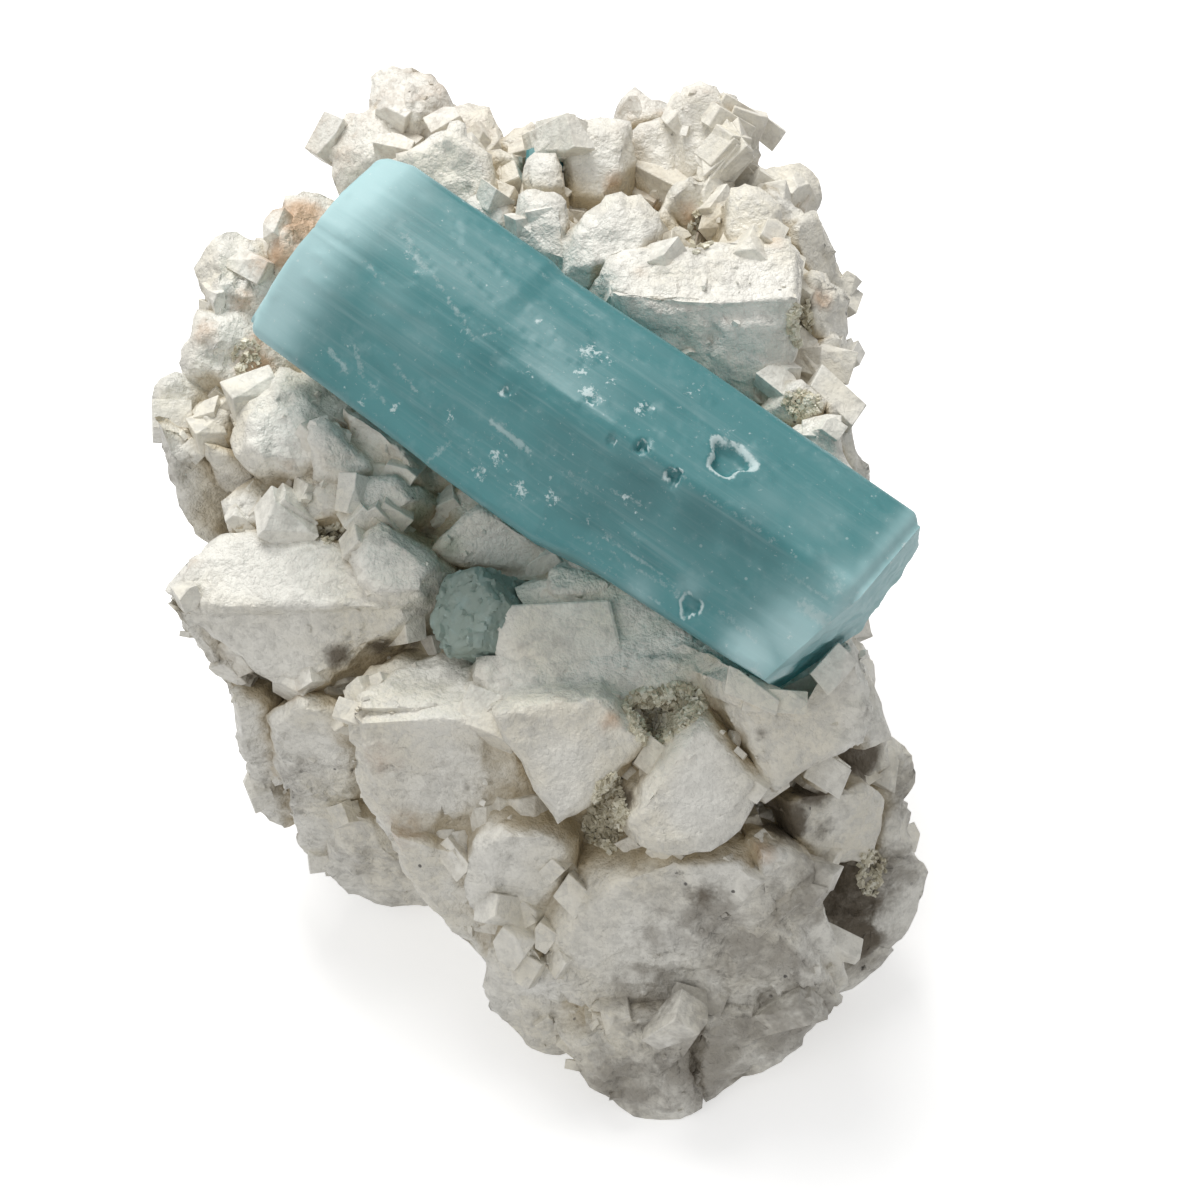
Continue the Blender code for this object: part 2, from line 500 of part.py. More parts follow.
def large_rings(grow, wide):
    """Rings of the large prism, grown by a clearance all round."""
    frame = axis_frame(CRYSTAL_AXIS)
    rings = []
    last = len(STATIONS) - 1
    for number, (along, shares, shifts) in enumerate(STATIONS):
        extra = -grow if number == 0 else grow if number == last else 0.0
        ring = []
        for corner in range(6):
            radius = CRYSTAL_RADIUS * shares[corner] + wide
            angle = CRYSTAL_TURN + 60.0 * corner
            place = along + extra + shifts[corner]
            ring.append(prism_point(CRYSTAL_MIDDLE, frame, place, radius, angle))
        rings.append(ring)
    return rings


def pit_cutter(index, pit):
    """A small many-sided cone pointing into the prism."""
    frame = axis_frame(CRYSTAL_AXIS)
    along, across, reach, half_long, half_wide, depth = pit
    inward = -(frame[1] * across + frame[2] * reach).normalized()
    centre = Vector(CRYSTAL_MIDDLE) + frame[0] * along + frame[1] * across + frame[2] * reach
    side = inward.cross(frame[0]).normalized()
    rng = random.Random(40 + index)
    points = []
    for lift, scale in ((1.4, 1.25), (0.0, 1.0), (-depth, 0.45)):
        for step in range(7):
            angle = step / 7 * math.tau + rng.uniform(-0.2, 0.2)
            size = scale * rng.uniform(0.85, 1.1)
            offset = frame[0] * (half_long * size * math.cos(angle))
            offset += side * (half_wide * size * math.sin(angle)) - inward * lift
            points.append(to_world(*(centre + offset)))
    return hull(f"pit_{index}", points)


def simple_rings(start, axis, radius, length, turn, shrink=0.86):
    """Rings of a plain hexagonal prism that starts at its free end."""
    frame = axis_frame(axis)
    rows = ((0.0, shrink), (radius * 0.12, 1.0), (length, 0.96))
    return [
        [prism_point(start, frame, along, radius * share, turn + 60.0 * k) for k in range(6)]
        for along, share in rows
    ]


def mesh_object(name, bm):
    """An unlinked helper object from a bmesh."""
    mesh = bpy.data.meshes.new(name)
    bm.to_mesh(mesh)
    bm.free()
    return bpy.data.objects.new(name, mesh)


def local_of(x, y, out):
    """Display-frame coordinates (millimetres) behind a sheet point."""
    spread = STEP * (SIGHT - out) / SIGHT
    return (x - SHEET_MIDDLE[0]) * spread, (SHEET_MIDDLE[1] - y) * spread, out


FRONT_START = local_of(459, 609, 7.5)
FRONT_AXIS = (0.66, -0.22, -0.72)
FRONT_TURN = 24.0
TIP_START = local_of(545, 158, -6.5)
TIP_AXIS = (-0.1, -0.5, -0.85)
TIP_TURN = 10.0


def build_large():
    """The large prism with its etched pits."""
    pits = bpy.data.collections.new("pits")
    for index, pit in enumerate(PITS):
        pits.objects.link(pit_cutter(index, pit))
    source = mesh_object("large_source", loft(large_rings(0.0, 0.0)))
    mesh = solid_mesh(source, (("DIFFERENCE", pits),))
    bm = bmesh.new()
    bm.from_mesh(mesh)
    tidy(bm)
    return bm


def core_hull(name, points):
    """One lump of the core, rooted below the base plane."""
    raised = [Vector((x, y, z + CORE_LIFT if z > 0 else z)) for x, y, z in points]
    return hull(name, [p * MM for p in raised])


def ground():
    """Everything under the base plane."""
    corners = itertools.product((-0.2, 0.2), (-0.2, 0.2), (-0.1, 0.0))
    return hull("ground", [Vector(c) for c in corners])


def socket(name, start, axis, radius, length, turn):
    """The hole a small prism stands in, with its clearance."""
    start = Vector(start) - Vector(axis).normalized() * GAP
    rings = simple_rings(start, axis, radius + GAP * 1.16, length + 2 * GAP, turn, 0.9)
    return mesh_object(name, loft(rings))


def build_matrix():
    """The albite: core, visible blocks and rubble in one solid, sockets cut out."""
    rng = random.Random(7)
    parts = bpy.data.collections.new("albite parts")
    front = core_hull("core_front", CORE_FRONT)
    back = core_hull("core_back", CORE_BACK)
    parts.objects.link(back)
    for index, spec in enumerate(BLOCKS):
        parts.objects.link(sheet_block(index, spec, rng))
    count = 0
    for core, tries in ((back, 80), (front, 40)):
        for at, normal in surface_points(core, tries, rng):
            stone = rubble_block(count, at, normal, rng)
            if stone is not None:
                parts.objects.link(stone)
                count += 1
    whole = solid_mesh(front, (("UNION", parts),))
    holes = bpy.data.collections.new("holes")
    growth = GAP * 1.16
    holes.objects.link(mesh_object("socket_large", loft(large_rings(growth, growth))))
    holes.objects.link(socket("socket_front", FRONT_START, FRONT_AXIS, FRONT_RADIUS,
                              FRONT_LENGTH, FRONT_TURN))
    holes.objects.link(socket("socket_tip", TIP_START, TIP_AXIS, TIP_RADIUS,
                              TIP_LENGTH, TIP_TURN))
    holes.objects.link(ground())
    joined = bpy.data.objects.new("joined", whole)
    mesh = solid_mesh(joined, (("DIFFERENCE", holes),))
    bm = bmesh.new()
    bm.from_mesh(mesh)
    largest_piece(bm)
    tidy(bm)
    return bm


def main():
    """Build the four solids and set the base centre on the origin."""
    for item in list(bpy.data.objects):
        bpy.data.objects.remove(item, do_unlink=True)
    solids = {
        "albite_matrix": (build_matrix(), (0.78, 0.76, 0.70), 0.7),
        "aquamarine_crystal": (build_large(), (0.16, 0.36, 0.37), 0.2),
        "aquamarine_small_front": (loft(simple_rings(
            FRONT_START, FRONT_AXIS, FRONT_RADIUS, FRONT_LENGTH, FRONT_TURN)),
            (0.09, 0.17, 0.15), 0.4),
        "aquamarine_small_back": (loft(simple_rings(
            TIP_START, TIP_AXIS, TIP_RADIUS, TIP_LENGTH, TIP_TURN)),
            (0.22, 0.42, 0.46), 0.25),
    }
    for item in list(bpy.data.objects):
        bpy.data.objects.remove(item, do_unlink=True)
    corners = [v.co for bm, _, _ in solids.values() for v in bm.verts]
    shift = Vector((
        -(min(c.x for c in corners) + max(c.x for c in corners)) / 2,
        -(min(c.y for c in corners) + max(c.y for c in corners)) / 2,
        -min(c.z for c in corners),
    ))
    print("shift", tuple(round(v * 1000, 3) for v in shift))
    for name, (bm, colour, roughness) in solids.items():
        bmesh.ops.translate(bm, verts=bm.verts[:], vec=shift)
        bmesh.ops.triangulate(bm, faces=bm.faces[:])
        print(name, len(bm.faces), "triangles")
        finish(name, bm, colour, roughness)


main()
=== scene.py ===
"""Aquamarine on albite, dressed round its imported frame."""
import math
import random

import bmesh
import bpy
import numpy as np
from bpy.props import FloatProperty, FloatVectorProperty, IntProperty, PointerProperty
from mathutils import Matrix, Quaternion, Vector, noise
from mathutils.bvhtree import BVHTree


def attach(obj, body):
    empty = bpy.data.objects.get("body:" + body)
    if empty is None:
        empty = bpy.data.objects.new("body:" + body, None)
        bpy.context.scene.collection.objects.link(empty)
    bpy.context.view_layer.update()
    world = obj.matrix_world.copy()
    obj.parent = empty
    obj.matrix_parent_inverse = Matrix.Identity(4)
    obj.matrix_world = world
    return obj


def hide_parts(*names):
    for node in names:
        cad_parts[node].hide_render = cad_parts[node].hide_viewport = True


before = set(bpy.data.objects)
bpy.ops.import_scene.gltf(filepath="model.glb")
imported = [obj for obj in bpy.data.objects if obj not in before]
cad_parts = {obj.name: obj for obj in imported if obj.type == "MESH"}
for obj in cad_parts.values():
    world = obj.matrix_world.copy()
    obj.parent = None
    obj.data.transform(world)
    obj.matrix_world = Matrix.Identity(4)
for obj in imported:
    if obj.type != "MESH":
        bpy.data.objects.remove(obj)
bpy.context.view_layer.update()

bl_info = {
    "name": "Aquamarine Crystal on Albite",
    "version": (1, 0, 0),
    "blender": (4, 5, 0),
    "location": "3D View > Sidebar > Specimen",
    "description": "Builds an aquamarine prism on its albite matrix, with stage and light",
    "category": "Object",
}

MM = 0.001

# The display face leans back; places on it are given in steps of its measuring sheet,
# x to the right and y down, read from a fixed sight distance.
SHEET_STEP = 0.11 * MM
SHEET_MIDDLE = 600.0
SIGHT = 311.0 * MM
LEAN = math.radians(50.0)
FACE_MIDDLE = Vector((6.478, -10.858, 46.0)) * MM
RIGHT = Vector((1.0, 0.0, 0.0))
UP = Vector((0.0, math.sin(LEAN), math.cos(LEAN)))
OUT = Vector((0.0, -math.cos(LEAN), math.sin(LEAN)))
EYE = FACE_MIDDLE + OUT * SIGHT
SENSOR = 36.0
FIELD = 132.0 * MM

# Lights: place and side in metres, and their common tint.
KEY_PLACE = (-0.12, 0.32, 0.62)
KEY_SIDE = 0.35
FILL_PLACE = (-0.42, -0.5, 0.42)
FILL_SIDE = 0.5
LIGHT_TINT = (1.0, 0.99, 0.97)
WHITE = (1.0, 1.0, 1.0)

# Meshing: distance that joins points, the angle under which a face counts as flat, rounds
# of cutting and of those that turn flat edges first, and the most triangles of two pieces.
JOIN = 1e-6
FLAT_ANGLE = 0.02
CUT_ROUNDS = 9
TURN_ROUNDS = 5
ROCK_TRIANGLES = 196000
FRONT_TRIANGLES = 40000

# The large prism in the display face's directions: middle and axis, its turn round the
# axis in degrees, and how far rock keeps off past its middle at either end, millimetres.
PRISM_MIDDLE = (-1.8, 18.5, 11.0)
PRISM_AXIS = (0.799, -0.559, 0.223)
PRISM_TURN = 4.0
PRISM_RIGHT_END = 36.0
PRISM_LEFT_END = 34.6
SIDES = 6
CORNER_ANGLE = 60.0

# Stations of the large prism: place along the axis in millimetres, then the share of the
# radius at each of its six corner lines.
STATIONS = (
    (-34.0, (1.01, 0.97, 0.98, 1.00, 1.00, 1.11)),
    (-30.2, (1.01, 1.06, 1.00, 1.00, 1.00, 1.12)),
    (-11.6, (1.02, 1.04, 1.00, 1.00, 1.05, 1.18)),
    (-9.8, (1.02, 1.00, 1.00, 1.00, 1.06, 1.19)),
    (4.5, (1.02, 1.01, 1.00, 1.00, 1.08, 1.22)),
    (9.5, (1.01, 1.01, 0.99, 0.99, 1.01, 1.12)),
    (35.6, (0.97, 0.98, 0.95, 0.96, 0.94, 1.03)),
)
# How far the two ends reach past their station at each corner line, millimetres.
LEFT_REACH = (0.8, 0.0, 0.0, 0.0, -2.0, -0.6)
RIGHT_REACH = (1.0, 0.9, 0.2, -0.6, -3.2, -2.8)

# Etched pits of the prism: sheet x and y, radius and depth in millimetres.
PITS = (
    (730, 458, 2.3, 1.3),
    (642, 447, 0.8, 0.8),
    (673, 477, 0.9, 0.8),
    (690, 606, 1.2, 0.7),
    (612, 440, 0.5, 0.4),
    (592, 400, 0.6, 0.3),
    (648, 408, 0.5, 0.3),
    (505, 392, 0.5, 0.4),
)

# White wisps inside the prism: from and to on the sheet, width in millimetres, strength.
WISPS = (
    (330, 350, 346, 370, 0.45, 0.8), (346, 370, 322, 388, 0.45, 0.7),
    (354, 345, 362, 374, 0.45, 0.7), (362, 374, 384, 400, 0.5, 0.5),
    (395, 365, 415, 392, 0.4, 0.6), (404, 236, 424, 268, 0.7, 0.6),
    (366, 262, 384, 284, 0.4, 0.5), (424, 262, 450, 300, 0.4, 0.5),
    (450, 300, 472, 336, 0.5, 0.5), (492, 422, 528, 450, 0.5, 0.9),
    (428, 462, 450, 442, 0.45, 0.6), (458, 452, 500, 432, 0.35, 0.4),
    (560, 470, 640, 540, 0.35, 0.45), (575, 535, 690, 600, 0.35, 0.55),
    (606, 535, 680, 590, 0.3, 0.65), (590, 556, 660, 604, 0.3, 0.5),
    (570, 470, 600, 488, 0.4, 0.4), (610, 490, 640, 504, 0.4, 0.6),
    (640, 450, 760, 530, 0.5, 0.35), (660, 462, 780, 545, 0.4, 0.4),
    (790, 575, 832, 602, 0.5, 0.5), (720, 612, 756, 640, 0.6, 0.5),
    (688, 590, 700, 650, 1.1, 0.6), (700, 640, 740, 676, 0.9, 0.55),
    (805, 606, 826, 622, 1.1, 0.75), (836, 580, 852, 606, 1.6, 0.5),
    (600, 590, 640, 606, 1.0, 0.6), (620, 585, 700, 650, 0.7, 0.4),
    (470, 340, 500, 330, 0.4, 0.4), (560, 300, 600, 318, 0.4, 0.4),
    (755, 672, 790, 672, 1.2, 0.7), (830, 650, 860, 605, 0.4, 0.5),
)

# Clusters of white flecks: sheet x and y, radius in millimetres, strength.
FLECKS = (
    (590, 352, 2.2, 0.9), (582, 372, 1.6, 0.7), (588, 392, 1.6, 1.0), (606, 360, 1.6, 0.7),
    (600, 400, 1.2, 0.8), (640, 408, 1.4, 0.9), (610, 382, 1.2, 0.6), (690, 394, 1.1, 0.8),
    (700, 388, 0.8, 0.7), (676, 380, 0.9, 0.6), (480, 472, 1.8, 0.8), (496, 456, 1.6, 0.8),
    (520, 490, 1.8, 0.9), (552, 498, 1.6, 0.8), (450, 418, 0.9, 1.0), (394, 408, 0.9, 1.0),
    (362, 402, 1.0, 0.8), (466, 334, 0.9, 0.7), (482, 330, 0.6, 0.8), (440, 226, 0.4, 1.0),
    (440, 320, 0.5, 0.6), (500, 394, 0.8, 0.8), (530, 372, 0.8, 0.5), (538, 322, 0.8, 0.6),
    (545, 276, 0.9, 0.5), (410, 254, 1.2, 0.7), (420, 272, 1.2, 0.5), (468, 452, 0.5, 0.9),
    (532, 464, 0.5, 0.8), (626, 498, 1.2, 0.7), (636, 511, 0.5, 1.0), (638, 543, 0.7, 0.8),
    (590, 517, 0.7, 0.6), (597, 545, 0.4, 0.9), (650, 356, 0.5, 0.9), (868, 504, 0.6, 0.8),
    (346, 390, 0.8, 0.5), (556, 330, 1.0, 0.4), (728, 430, 1.0, 0.7), (712, 446, 1.0, 0.7),
    (787, 637, 1.2, 0.5), (790, 560, 1.2, 0.3), (572, 440, 0.9, 0.4), (432, 474, 1.0, 0.6),
    (455, 490, 1.1, 0.6), (905, 545, 0.8, 0.9), (890, 560, 1.0, 0.7), (350, 346, 0.8, 0.6),
)

# Pale and deep places of the prism, the pale partly milky cloud and partly painted light, the deep
# painted shade: sheet x and y, radius in millimetres, strength.
# Pale places: partly milky cloud, partly painted light where the thin ends let light through.
PALE_AND_LIT_SPOTS = (
    (290, 300, 5.0, 0.8), (310, 240, 5.5, 1.0), (345, 205, 5.5, 1.0), (385, 175, 4.5, 0.9),
    (275, 335, 4.0, 0.7), (420, 195, 4.0, 0.45), (390, 300, 6.0, 0.35), (420, 330, 6.0, 0.3),
    (800, 640, 10.0, 0.85), (752, 655, 7.0, 0.95), (850, 590, 8.0, 0.6), (885, 550, 6.0, 0.45),
    (700, 645, 5.0, 0.7), (780, 675, 6.0, 1.0), (640, 592, 4.0, 0.5), (820, 520, 7.0, 0.35),
    (770, 500, 6.0, 0.3), (690, 590, 3.0, 0.5), (850, 480, 7.0, 0.2), (480, 330, 4.0, 0.2),
)
# Deep places: painted shade, darker teal where the faces turn from the light and the middle is
# thick.
DEEP_SHADE_SPOTS = (
    (350, 320, 4.5, 0.45), (425, 225, 4.0, 0.35), (490, 360, 5.0, 0.6), (520, 390, 5.0, 0.6),
    (560, 440, 7.0, 0.6), (440, 420, 6.0, 0.4), (620, 400, 6.0, 0.4), (640, 490, 6.0, 0.8),
    (700, 520, 5.0, 1.0), (745, 535, 5.0, 1.0), (600, 520, 6.0, 0.6), (560, 560, 4.0, 0.6),
    (580, 340, 5.0, 0.4), (680, 400, 6.0, 0.4), (720, 460, 2.2, 0.5), (770, 550, 4.0, 0.8),
    (650, 560, 4.0, 0.5), (822, 562, 2.0, 0.6), (540, 300, 5.0, 0.35), (460, 250, 5.0, 0.25),
    (660, 350, 5.0, 0.3),
)

# Rust stains, painted shade and painted light on the albite: sheet x and y, radius in millimetres,
# strength.
WARM = (
    (300, 222, 6.0, 1.0), (282, 258, 4.5, 0.9), (255, 365, 4.5, 0.8), (262, 340, 3.5, 0.7),
    (245, 300, 4.0, 0.5), (290, 466, 3.0, 0.4), (205, 330, 4.0, 0.5), (340, 150, 5.0, 0.35),
    (612, 182, 2.6, 0.7), (652, 205, 2.6, 0.6), (708, 226, 4.0, 0.8), (690, 215, 3.0, 0.6),
    (800, 196, 3.0, 0.5), (776, 240, 2.5, 0.5), (720, 110, 3.0, 0.4), (640, 272, 2.5, 0.4),
    (300, 690, 3.5, 0.5), (404, 830, 5.0, 0.4), (380, 760, 5.0, 0.4), (560, 700, 2.5, 0.4),
    (700, 705, 2.5, 0.5), (440, 520, 3.0, 0.4), (820, 300, 3.0, 0.6), (800, 330, 3.0, 0.6),
    (612, 720, 2.5, 0.6), (196, 560, 3.0, 0.3), (760, 850, 3.5, 0.5), (345, 720, 3.0, 0.4),
)
# Painted greenish shade in the recesses under and beside the aquamarine.
GREEN_SHADE_SPOTS = (
    (420, 512, 4.0, 0.9), (450, 545, 3.0, 0.8), (395, 470, 2.5, 0.6), (660, 620, 4.0, 0.5),
    (690, 660, 3.5, 0.5), (500, 590, 2.5, 0.4), (620, 590, 3.0, 0.4), (430, 600, 2.0, 0.6),
    (520, 520, 2.5, 0.4), (700, 690, 3.0, 0.5), (360, 420, 2.0, 0.4), (800, 320, 3.0, 0.5),
)
# Hollows and dark crevices: painted shade over a brown stain; blocks keep out of them too.
SHADED_HOLLOWS = (
    (858, 758, 5.2, 1.0), (810, 790, 4.0, 0.9), (842, 900, 7.0, 1.0), (834, 875, 6.0, 1.0),
    (850, 940, 6.4, 1.0), (870, 900, 5.0, 0.7), (338, 655, 3.2, 0.7), (380, 645, 3.4, 0.7),
    (410, 640, 2.6, 0.6), (330, 534, 3.0, 0.6), (600, 825, 3.6, 0.9), (625, 800, 2.8, 0.8),
    (430, 534, 2.4, 0.5), (806, 306, 2.6, 0.6), (700, 250, 2.2, 0.5), (785, 820, 5.0, 1.0),
    (765, 800, 2.4, 0.7), (470, 790, 3.0, 0.35), (690, 1030, 3.4, 0.7), (690, 1070, 3.4, 0.5),
    (230, 480, 3.0, 0.5), (820, 830, 4.0, 0.5), (700, 895, 4.4, 0.5), (760, 735, 1.8, 0.5),
)
# Painted shade on the lower front and foot, which face away from the light.
LOW_SHADE_SPOTS = (
    (700, 1060, 16.0, 1.0), (780, 1030, 13.0, 1.0), (620, 1080, 13.0, 0.9), (700, 920, 11.0, 0.8),
    (760, 960, 11.0, 0.9), (650, 1000, 10.0, 0.8), (880, 880, 10.0, 0.9), (300, 780, 11.0, 0.45),
    (380, 860, 9.0, 0.5), (860, 960, 10.0, 0.9), (240, 660, 7.0, 0.35), (800, 900, 11.0, 0.8),
    (440, 760, 6.0, 0.2), (900, 800, 8.0, 0.6), (170, 470, 6.0, 0.4), (190, 400, 5.0, 0.3),
    (840, 420, 5.0, 0.3),
)
# Painted light: albite made lighter in chosen places, many of them in the aquamarine's shade.
PAINTED_LIGHT_SPOTS = (
    (675, 940, 4.5, 0.8), (560, 760, 9.0, 0.6), (600, 650, 8.0, 0.7), (740, 340, 9.0, 0.9),
    (700, 800, 8.0, 1.0), (280, 580, 9.0, 0.3), (500, 550, 6.0, 1.0), (300, 430, 9.0, 1.0),
    (800, 700, 6.0, 0.5), (680, 150, 11.0, 0.9), (590, 160, 7.0, 0.8), (430, 720, 8.0, 0.8),
    (370, 480, 8.0, 1.0), (240, 480, 7.0, 0.9), (400, 140, 8.0, 0.8), (360, 700, 5.0, 0.7),
    (545, 990, 7.0, 0.9), (520, 940, 5.0, 0.9), (500, 870, 6.0, 0.8), (270, 540, 6.0, 0.7),
)

# Rough broken places of the albite: sheet x and y, radius in millimetres, strength.
ROUGH = (
    (300, 790, 10.0, 0.9), (350, 860, 9.0, 0.9), (640, 1050, 14.0, 1.0), (760, 1020, 10.0, 1.0),
    (560, 980, 8.0, 0.8), (700, 950, 10.0, 0.8), (800, 900, 8.0, 0.9), (880, 880, 8.0, 1.0),
    (240, 660, 7.0, 0.9), (240, 280, 7.0, 0.8), (300, 230, 6.0, 0.8), (220, 360, 6.0, 0.7),
    (180, 460, 7.0, 0.6), (400, 100, 7.0, 0.6), (370, 160, 5.0, 0.6), (790, 190, 5.0, 0.6),
    (830, 300, 7.0, 0.7), (840, 420, 6.0, 0.8), (440, 800, 6.0, 0.4), (720, 130, 6.0, 0.3),
    (900, 780, 6.0, 0.8), (500, 950, 6.0, 0.8),
)

# Broad cleavage faces that stay clean: sheet x and y, radius in millimetres, strength.
CALM = (
    (560, 760, 9.0, 1.0), (590, 650, 9.0, 1.0), (740, 340, 8.0, 0.4), (690, 770, 8.0, 1.0),
    (280, 580, 9.0, 1.0), (490, 545, 5.0, 1.0), (810, 710, 7.0, 1.0), (420, 720, 7.0, 0.8),
    (740, 270, 6.0, 0.3), (450, 610, 6.0, 1.0), (700, 730, 6.0, 1.0), (380, 560, 5.0, 0.8),
)

# Blocks listed one by one: sheet x and y, width, height and depth, turn in degrees, lift.
SET_BLOCKS = (
    (827, 772, 4.4, 3.4, 3.4, -32.0, 0.6),
    (556, 640, 13.4, 8.0, 5.0, 3.0, -2.05),
    (752, 690, 5.6, 2.6, 3.2, -24.0, 0.5),
    (776, 700, 6.4, 2.4, 3.2, -4.0, 0.4),
    (806, 690, 6.0, 2.8, 3.2, 26.0, 0.6),
    (832, 668, 4.6, 3.0, 3.2, 48.0, 0.4),
)

# Tints that the settings don't hold.
DULL_TINT = (0.46, 0.44, 0.395)
# Colour of the painted light.
PAINTED_LIGHT_TINT = (0.89, 0.875, 0.82)
SPECK_TINT = (0.05, 0.045, 0.04)
MICA_DARK = (0.14, 0.12, 0.08)
MICA_BROWN = (0.42, 0.38, 0.28)
MICA_LIGHT = (0.74, 0.72, 0.62)

# Granular mica patches: sheet x and y, half width and half height in steps, grains.
MICA_PATCHES = (
    (664, 715, 46, 36, 800), (607, 815, 28, 50, 420), (800, 322, 16, 34, 220),
    (803, 404, 24, 18, 160), (872, 872, 16, 30, 120), (336, 534, 26, 14, 90),
    (700, 228, 14, 30, 80), (246, 360, 16, 26, 60),
)
PATCH_REACH = 0.12       # millimetres round a patch, for each step of it, kept free of blocks


def point_on_face(right, up, out):
    """A point given in the display face's own directions, millimetres, in metres."""
    return FACE_MIDDLE + (RIGHT * right + UP * up + OUT * out) * MM


def sight_line(x, y):
    """Start and direction of the line that looks at a sheet place."""
    aim = FACE_MIDDLE + (RIGHT * (x - SHEET_MIDDLE) + UP * (SHEET_MIDDLE - y)) * SHEET_STEP
    return EYE, (aim - EYE).normalized()


def seen_on(tree, x, y):
    """Place and outward direction of the surface behind a sheet place, or None."""
    place, normal, _, _ = tree.ray_cast(*sight_line(x, y))
    return None if place is None else (place, normal)


def spots_on(tree, rows):
    """Centre, radius and strength of each row that meets the surface."""
    found = []
    for x, y, radius, strength in rows:
        hit = seen_on(tree, x, y)
        if hit:
            found.append((hit[0], radius * MM, strength))
    return found


def read_points(mesh):
    """The mesh's points as an array."""
    points = np.empty(len(mesh.vertices) * 3, np.float32)
    mesh.vertices.foreach_get("co", points)
    return points.reshape(-1, 3).astype(np.float64)


def read_normals(mesh):
    """The outward direction at each point of the mesh."""
    normals = np.empty(len(mesh.vertices) * 3, np.float32)
    mesh.vertex_normals.foreach_get("vector", normals)
    return normals.reshape(-1, 3).astype(np.float64)


def write_points(mesh, points):
    """Put the points back in the mesh."""
    mesh.vertices.foreach_set("co", points.astype(np.float32).ravel())
    mesh.update()


def smooth_fall(distance, radius):
    """One at the centre of a spot, falling softly to nothing at its radius."""
    share = np.clip(1.0 - distance / radius, 0.0, 1.0)
    return share * share * (3.0 - 2.0 * share)


def spot_cover(points, spots, floor=None):
    """How strongly the spots cover each point."""
    value = np.zeros(len(points)) if floor is None else floor.copy()
    for centre, radius, strength in spots:
        distance = np.linalg.norm(points - np.array(centre), axis=1)
        value = np.maximum(value, smooth_fall(distance, radius) * strength)
    return value


def paint_spots(mesh, name, spots, floor=None):
    """Store how strongly the spots cover each point of the mesh."""
    store(mesh, name, spot_cover(read_points(mesh), spots, floor))


def store(mesh, name, value):
    """Keep one number for each point of the mesh."""
    layer = mesh.attributes.new(name, "FLOAT", "POINT")
    layer.data.foreach_set("value", value.astype(np.float32))


def new_object(name, data):
    """Link finished mesh, light or camera data as an object at the origin."""
    item = bpy.data.objects.new(name, data)
    bpy.context.scene.collection.objects.link(item)
    return item


def bmesh_of(mesh):
    """A bmesh that holds a copy of a mesh."""
    bm = bmesh.new()
    bm.from_mesh(mesh)
    return bm


def mesh_from(name, bm):
    """Turn a bmesh into a mesh of triangles and n-gons."""
    mesh = bpy.data.meshes.new(name)
    bm.to_mesh(mesh)
    bm.free()
    return mesh


def with_modifier(mesh, kind, **settings):
    """A new mesh with one modifier applied."""
    item = new_object("work", mesh)
    modifier = item.modifiers.new("work", kind)
    for key, value in settings.items():
        setattr(modifier, key, value)
    graph = bpy.context.evaluated_depsgraph_get()
    result = bpy.data.meshes.new_from_object(item.evaluated_get(graph))
    bpy.data.objects.remove(item)
    return result


def thin_to(mesh, most):
    """Fewer triangles where the surface is flat."""
    triangles = sum(len(p.vertices) - 2 for p in mesh.polygons)
    if triangles <= most:
        return mesh
    return with_modifier(mesh, "DECIMATE", ratio=most / triangles, use_collapse_triangulate=True)


def shade(mesh, degrees):
    """Smooth shading that keeps edges sharper than the angle."""
    mesh.shade_smooth()
    mesh.set_sharp_from_angle(angle=math.radians(degrees))


def tree_of(mesh):
    """A search tree over a mesh."""
    bm = bmesh_of(mesh)
    tree = BVHTree.FromBMesh(bm)
    bm.free()
    return tree


# ---------------------------------------------------------------- the large prism's frame

def axis_frame(axis):
    """Along, across (to the upper right) and outward directions in the display frame."""
    along = Vector(axis).normalized()
    outward = Vector((0.0, 0.0, 1.0))
    outward -= along * along.dot(outward)
    outward.normalize()
    return along, outward.cross(along), outward


def to_world(direction):
    """A direction of the display frame as a direction of the row frame."""
    return RIGHT * direction[0] + UP * direction[1] + OUT * direction[2]


PRISM_FRAME = axis_frame(PRISM_AXIS)
PRISM_CENTRE = point_on_face(*PRISM_MIDDLE)
PRISM_ALONG = to_world(PRISM_FRAME[0])
PRISM_ACROSS = to_world(PRISM_FRAME[1])
PRISM_OUTWARD = to_world(PRISM_FRAME[2])


def corner_shares(along, corner):
    """Share of the radius at a corner line for places along the prism, millimetres."""
    places = [row[0] for row in STATIONS]
    return np.interp(along, places, [row[1][corner] for row in STATIONS])


def prism_planes(radius):
    """Outward direction and distance from the axis of the six sides, metres."""
    planes = []
    for side in range(SIDES):
        ends = []
        for corner in (side, (side + 1) % SIDES):
            angle = math.radians(PRISM_TURN + CORNER_ANGLE * corner)
            share = float(np.mean(corner_shares(np.linspace(-30, 30, 7), corner)))
            ends.append((math.sin(angle) * share * radius, math.cos(angle) * share * radius))
        (ax, ay), (bx, by) = ends
        nx, ny = by - ay, ax - bx
        length = math.hypot(nx, ny)
        nx, ny = nx / length, ny / length
        if nx * (ax + bx) + ny * (ay + by) < 0:
            nx, ny = -nx, -ny
        direction = PRISM_ACROSS * nx + PRISM_OUTWARD * ny
        planes.append((np.array(direction), (nx * ax + ny * ay) * MM))
    return planes


def prism_depth(points, radius):
    """Signed distance to the large prism (negative inside) and the nearest side's direction."""
    offset = points - np.array(PRISM_CENTRE)
    axis = np.array(PRISM_ALONG)
    planes = prism_planes(radius)
    planes += [(axis, PRISM_RIGHT_END * MM), (-axis, PRISM_LEFT_END * MM)]
    table = np.stack([offset @ normal - reach for normal, reach in planes])
    directions = np.array([normal for normal, _ in planes])
    return table.max(axis=0), directions[table.argmax(axis=0)]


# ---------------------------------------------------------------- shader shorthand

